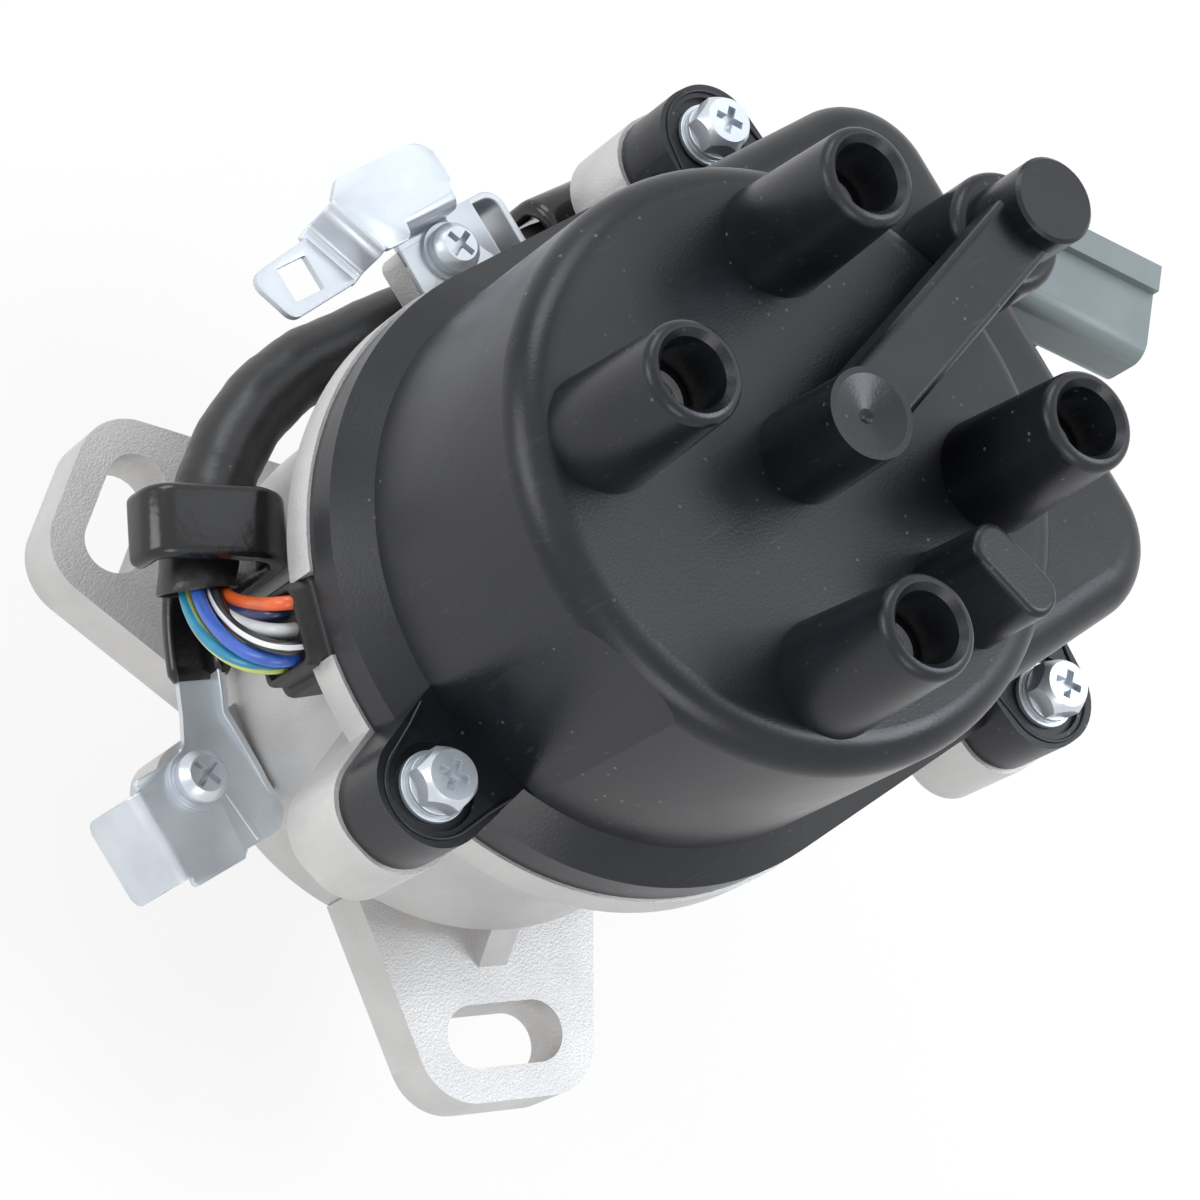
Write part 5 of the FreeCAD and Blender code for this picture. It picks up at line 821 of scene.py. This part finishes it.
def upper_bracket():
    """Plated sheet bracket: plate, raised shade, tab with a square hole, strip to its hook."""
    shape = bmesh.new()
    plate = [(6.9, 47.8, 0.6), (22.9, 47.8, 0.4), (22.9, 59.0, 0.4), (17.5, 59.0, 0.3),
             (17.4, 56.6, 0), (6.9, 56.6, 0)]
    slab(shape, outline(plate), *UPPER_PLATE, 0.22)
    rise = ((54.0, UPPER_PLATE_MIDDLE), (58.5, UPPER_PLATE_MIDDLE), (58.5, SHADE_MIDDLE),
            (62.0, SHADE_MIDDLE))
    riser = bent([Vector((12.1, y, level)) for y, level in rise], 1.3, 6)
    band(shape, riser, Vector((1, 0, 0)), 10.4, BENT_THICK, 0.25)
    shade = [(1.4, 56.8, 1.0), (6.6, 56.8, 0.9), (6.95, 60.0, 0), (17.25, 60.0, 0),
             (17.3, 61.6, 0.3), (18.2, 61.9, 0.5), (18.2, 69.4, 8.0), (0.3, 69.4, 1.6),
             (-2.4, 66.8, 1.0)]
    slab(shape, outline(shade), *SHADE, 0.25)
    middle = Vector((-0.55, 61.8, 0))
    fall = Vector((-0.925, -0.379, 0))
    across = Vector((-0.379, 0.925, 0))
    steps = ((-2.6, SHADE_MIDDLE), (0.9, SHADE_MIDDLE), (2.2, UPPER_PLATE_MIDDLE),
             (4.7, UPPER_PLATE_MIDDLE))
    route = bent([middle + fall * reach + Vector((0, 0, level)) for reach, level in steps],
                 1.7, 7)
    band(shape, route, across, 10.5, BENT_THICK, 0.25)
    tab = [(-15.5, 54.3, 2.0), (-2.6, 55.3, 0.4), (-6.3, 64.3, 0.4), (-18.6, 62.6, 2.0)]
    hole = [(-13.7, 56.5, 0.3), (-8.1, 56.5, 0.3), (-8.1, 62.1, 0.3), (-13.7, 62.1, 0.3)]
    holed_slab(shape, outline(tab), outline(hole, 3), *UPPER_PLATE, 0.2)
    loop = bent([Vector((20.6, 58.5, 0)), Vector((27.8, 58.5, 0)), Vector((27.8, 47.2, 0)),
                 Vector((40.4, 47.2, 0))], 2.6, 8)
    rail(shape, loop, [7.35] * len(loop), 40.85, 1.2, 0.35)
    finish("upper_bracket_sheet", shape, ZINC, "body", ["upper_bracket"], 40)


def pad_loop(width, height, corner, middle, radius):
    """Rounded rectangle facing out of the housing at the grommet, at a radius."""
    outward = polar(GROMMET_ANGLE, 1, 0)
    sideways = polar(GROMMET_ANGLE + 90, 1, 0)
    return [outward * radius + sideways * (middle[0] + x) + UP * (middle[1] + y)
            for x, y in rounded_section(width, height, corner, 7)]


def grommet():
    """Rubber grommet: a flange on the casting and a raised, dished pad for the wires."""
    shape = bmesh.new()
    middle = (0.2, 50.3)
    centre = (0.2, 50.7)
    loops = [pad_loop(15.2, 15.6, 2.6, middle, 38.5), pad_loop(15.2, 15.6, 2.6, middle, 45.8),
             pad_loop(14.8, 15.2, 2.4, middle, 46.4), pad_loop(13.8, 14.4, 2.0, middle, 46.7),
             pad_loop(12.6, 13.8, 1.8, centre, 46.7), pad_loop(12.2, 13.4, 1.7, centre, 47.0),
             pad_loop(11.9, 13.1, 1.6, centre, 49.0), pad_loop(11.5, 12.7, 1.4, centre, 49.5),
             pad_loop(10.7, 11.9, 1.2, centre, 49.6), pad_loop(9.9, 11.1, 1.0, centre, 49.4),
             pad_loop(9.5, 10.7, 0.9, centre, 48.6), pad_loop(9.1, 10.3, 0.8, centre, 48.4)]
    lofted(shape, loops, [number * 0.1 for number in range(len(loops))])
    finish("grommet_pad", shape, RUBBER, "body", ["harness_grommet"], 45)


def arc_band(shape, points, width, thick, corner):
    """Band whose width runs out from the axis, along an arc round it."""
    loops = []
    last = len(points) - 1
    for number, point in enumerate(points):
        outward = Vector((point.x, point.y, 0)).normalized()
        less = corner * 0.6 if number in (0, last) else 0
        section = rounded_section(width - 2 * less, thick - 2 * less, corner - less)
        loops.append([point + outward * x + Vector((0, 0, y)) for x, y in section])
    middles = [sum(loop, Vector()) / len(loop) for loop in loops]
    lofted(shape, loops, distances(middles))


def hook_two():
    """Black dipped claw at the far end of the harness."""
    centre = Vector((44.5, 47.2, HARNESS_LEVEL))
    outward = polar(87.5, 1, 0)
    side = polar(177.5, 1, 0)
    flat = [(-4.6, 7.45), (7.5, 7.45), (7.5, -4.6)]
    route = bent([centre + outward * x + UP * z for x, z in flat], 3.9)
    shape = bmesh.new()
    band(shape, route, side, 12.7, 2.9, 1.35)
    finish("hook_two_vinyl", shape, VINYL, "body", ["upper_hook_coating"])


def ear_rims():
    """Thin raised line round each ear of the cap."""
    shape = bmesh.new()
    for x, y, angle in ((-51.0, -12.4, -166), (50.0, 48.4, 90), (50.0, -48.4, -90)):
        outward = polar(angle, 1, 0)
        sideways = polar(angle + 90, 1, 0)
        tip = [(7.2 * math.cos(math.radians(turn)), 7.2 * math.sin(math.radians(turn)))
               for turn in range(-86, 87, 6)]
        flat = [(-7.5, -8.9), (-3.5, -7.9)] + tip + [(-3.5, 7.9), (-7.5, 8.9)]
        points = [Vector((x, y, 71.1)) + outward * u + sideways * v for u, v in flat]
        frames = carried(points, sideways)
        loops = [round_loop(point, across, top, 0.3, 8)
                 for point, (ahead, across, top) in zip(points, frames)]
        lofted(shape, loops, distances(points))
    finish("cap_ear_rims", shape, CAP, "body", [])


harness_wires()
sleeve()
hook_one()
hook_two()
lower_bracket()
upper_bracket()
grommet()
ear_rims()


# Floor, world and lamps, with places and sizes in metres and power in watts

FLOOR_SIZE = 3
FLOOR_DROP = 0.0005
FLOOR_WHITE_SHARE = 0.8
WORLD_STRENGTH = 0.55
LAMP_AIM = Vector((0, 0, 0.06))


def seen_rays(nodes, links):
    """One for the rays that show the background: camera, glossy, transmission."""
    rays = add(nodes, "ShaderNodeLightPath", (-900, -300))
    direct = add(nodes, "ShaderNodeMath", (-600, -300), operation="MAXIMUM")
    seen = add(nodes, "ShaderNodeMath", (-300, -300), operation="MAXIMUM")
    links.new(rays.outputs["Is Camera Ray"], direct.inputs[0])
    links.new(rays.outputs["Is Glossy Ray"], direct.inputs[1])
    links.new(direct.outputs["Value"], seen.inputs[0])
    links.new(rays.outputs["Is Transmission Ray"], seen.inputs[1])
    return seen.outputs["Value"]


def backdrop():
    """Pale floor, white to the camera and in reflections, clear from below."""
    shape = bmesh.new()
    bmesh.ops.create_grid(shape, x_segments=1, y_segments=1, size=FLOOR_SIZE)
    lowest = cad_box[0][2] - FLOOR_DROP
    bmesh.ops.translate(shape, verts=shape.verts, vec=(0, 0, lowest))
    data = bpy.data.meshes.new("floor")
    shape.to_mesh(data)
    shape.free()
    floor = bpy.data.objects.new("floor", data)
    scene.collection.objects.link(floor)
    material, nodes, links, shader = new_material("floor_white", (0.88, 0.86, 0.83), 0.9)
    white = add(nodes, "ShaderNodeEmission", (0, -300))
    white.inputs["Color"].default_value = (1, 1, 1, 1)
    mix = add(nodes, "ShaderNodeMixShader", (300, 0))
    share = add(nodes, "ShaderNodeMath", (-100, -300), operation="MULTIPLY")
    share.inputs[1].default_value = FLOOR_WHITE_SHARE
    links.new(seen_rays(nodes, links), share.inputs[0])
    links.new(share.outputs["Value"], mix.inputs["Fac"])
    links.new(shader.outputs["BSDF"], mix.inputs[1])
    links.new(white.outputs["Emission"], mix.inputs[2])
    clear = add(nodes, "ShaderNodeBsdfTransparent", (300, -300))
    side = add(nodes, "ShaderNodeNewGeometry", (300, 300))
    both = add(nodes, "ShaderNodeMixShader", (600, 0))
    links.new(side.outputs["Backfacing"], both.inputs["Fac"])
    links.new(mix.outputs["Shader"], both.inputs[1])
    links.new(clear.outputs["BSDF"], both.inputs[2])
    links.new(both.outputs["Shader"], nodes["Material Output"].inputs["Surface"])
    data.materials.append(material)


def world_light():
    world = bpy.data.worlds.new("studio")
    scene.world = world
    world.use_nodes = True
    nodes, links = world.node_tree.nodes, world.node_tree.links
    plain = nodes["Background"]
    plain.inputs["Color"].default_value = (0.93, 0.96, 1.0, 1)
    plain.inputs["Strength"].default_value = WORLD_STRENGTH
    white = add(nodes, "ShaderNodeBackground", (0, -300))
    white.inputs["Color"].default_value = (1, 1, 1, 1)
    white.inputs["Strength"].default_value = 1
    mix = add(nodes, "ShaderNodeMixShader", (300, 0))
    links.new(seen_rays(nodes, links), mix.inputs["Fac"])
    links.new(plain.outputs["Background"], mix.inputs[1])
    links.new(white.outputs["Background"], mix.inputs[2])
    links.new(mix.outputs["Shader"], nodes["World Output"].inputs["Surface"])


def lamp(name, place, size, power, colour=(1, 1, 1)):
    data = bpy.data.lights.new(name, "AREA")
    data.shape = "RECTANGLE"
    data.size = size[0]
    data.size_y = size[1]
    data.energy = power
    data.color = colour
    item = bpy.data.objects.new(name, data)
    scene.collection.objects.link(item)
    item.location = place
    aim = LAMP_AIM - item.location
    item.rotation_euler = aim.to_track_quat("-Z", "Y").to_euler()


backdrop()
world_light()
lamp("key", (0.75, -0.1, 1.1), (1.5, 1.5), 5.0, (0.90, 0.95, 1.0))
lamp("glint", (0.5, -0.35, 0.9), (0.4, 0.4), 4.0, (0.86, 0.93, 1.0))
lamp("window", (0.1, 0.85, 0.6), (0.6, 0.4), 3, (0.9, 0.95, 1.0))
lamp("front", (-0.7, -0.6, 0.6), (0.5, 0.5), 2.5)
lamp("side", (-0.6, 0.5, 0.25), (0.4, 0.4), 2)
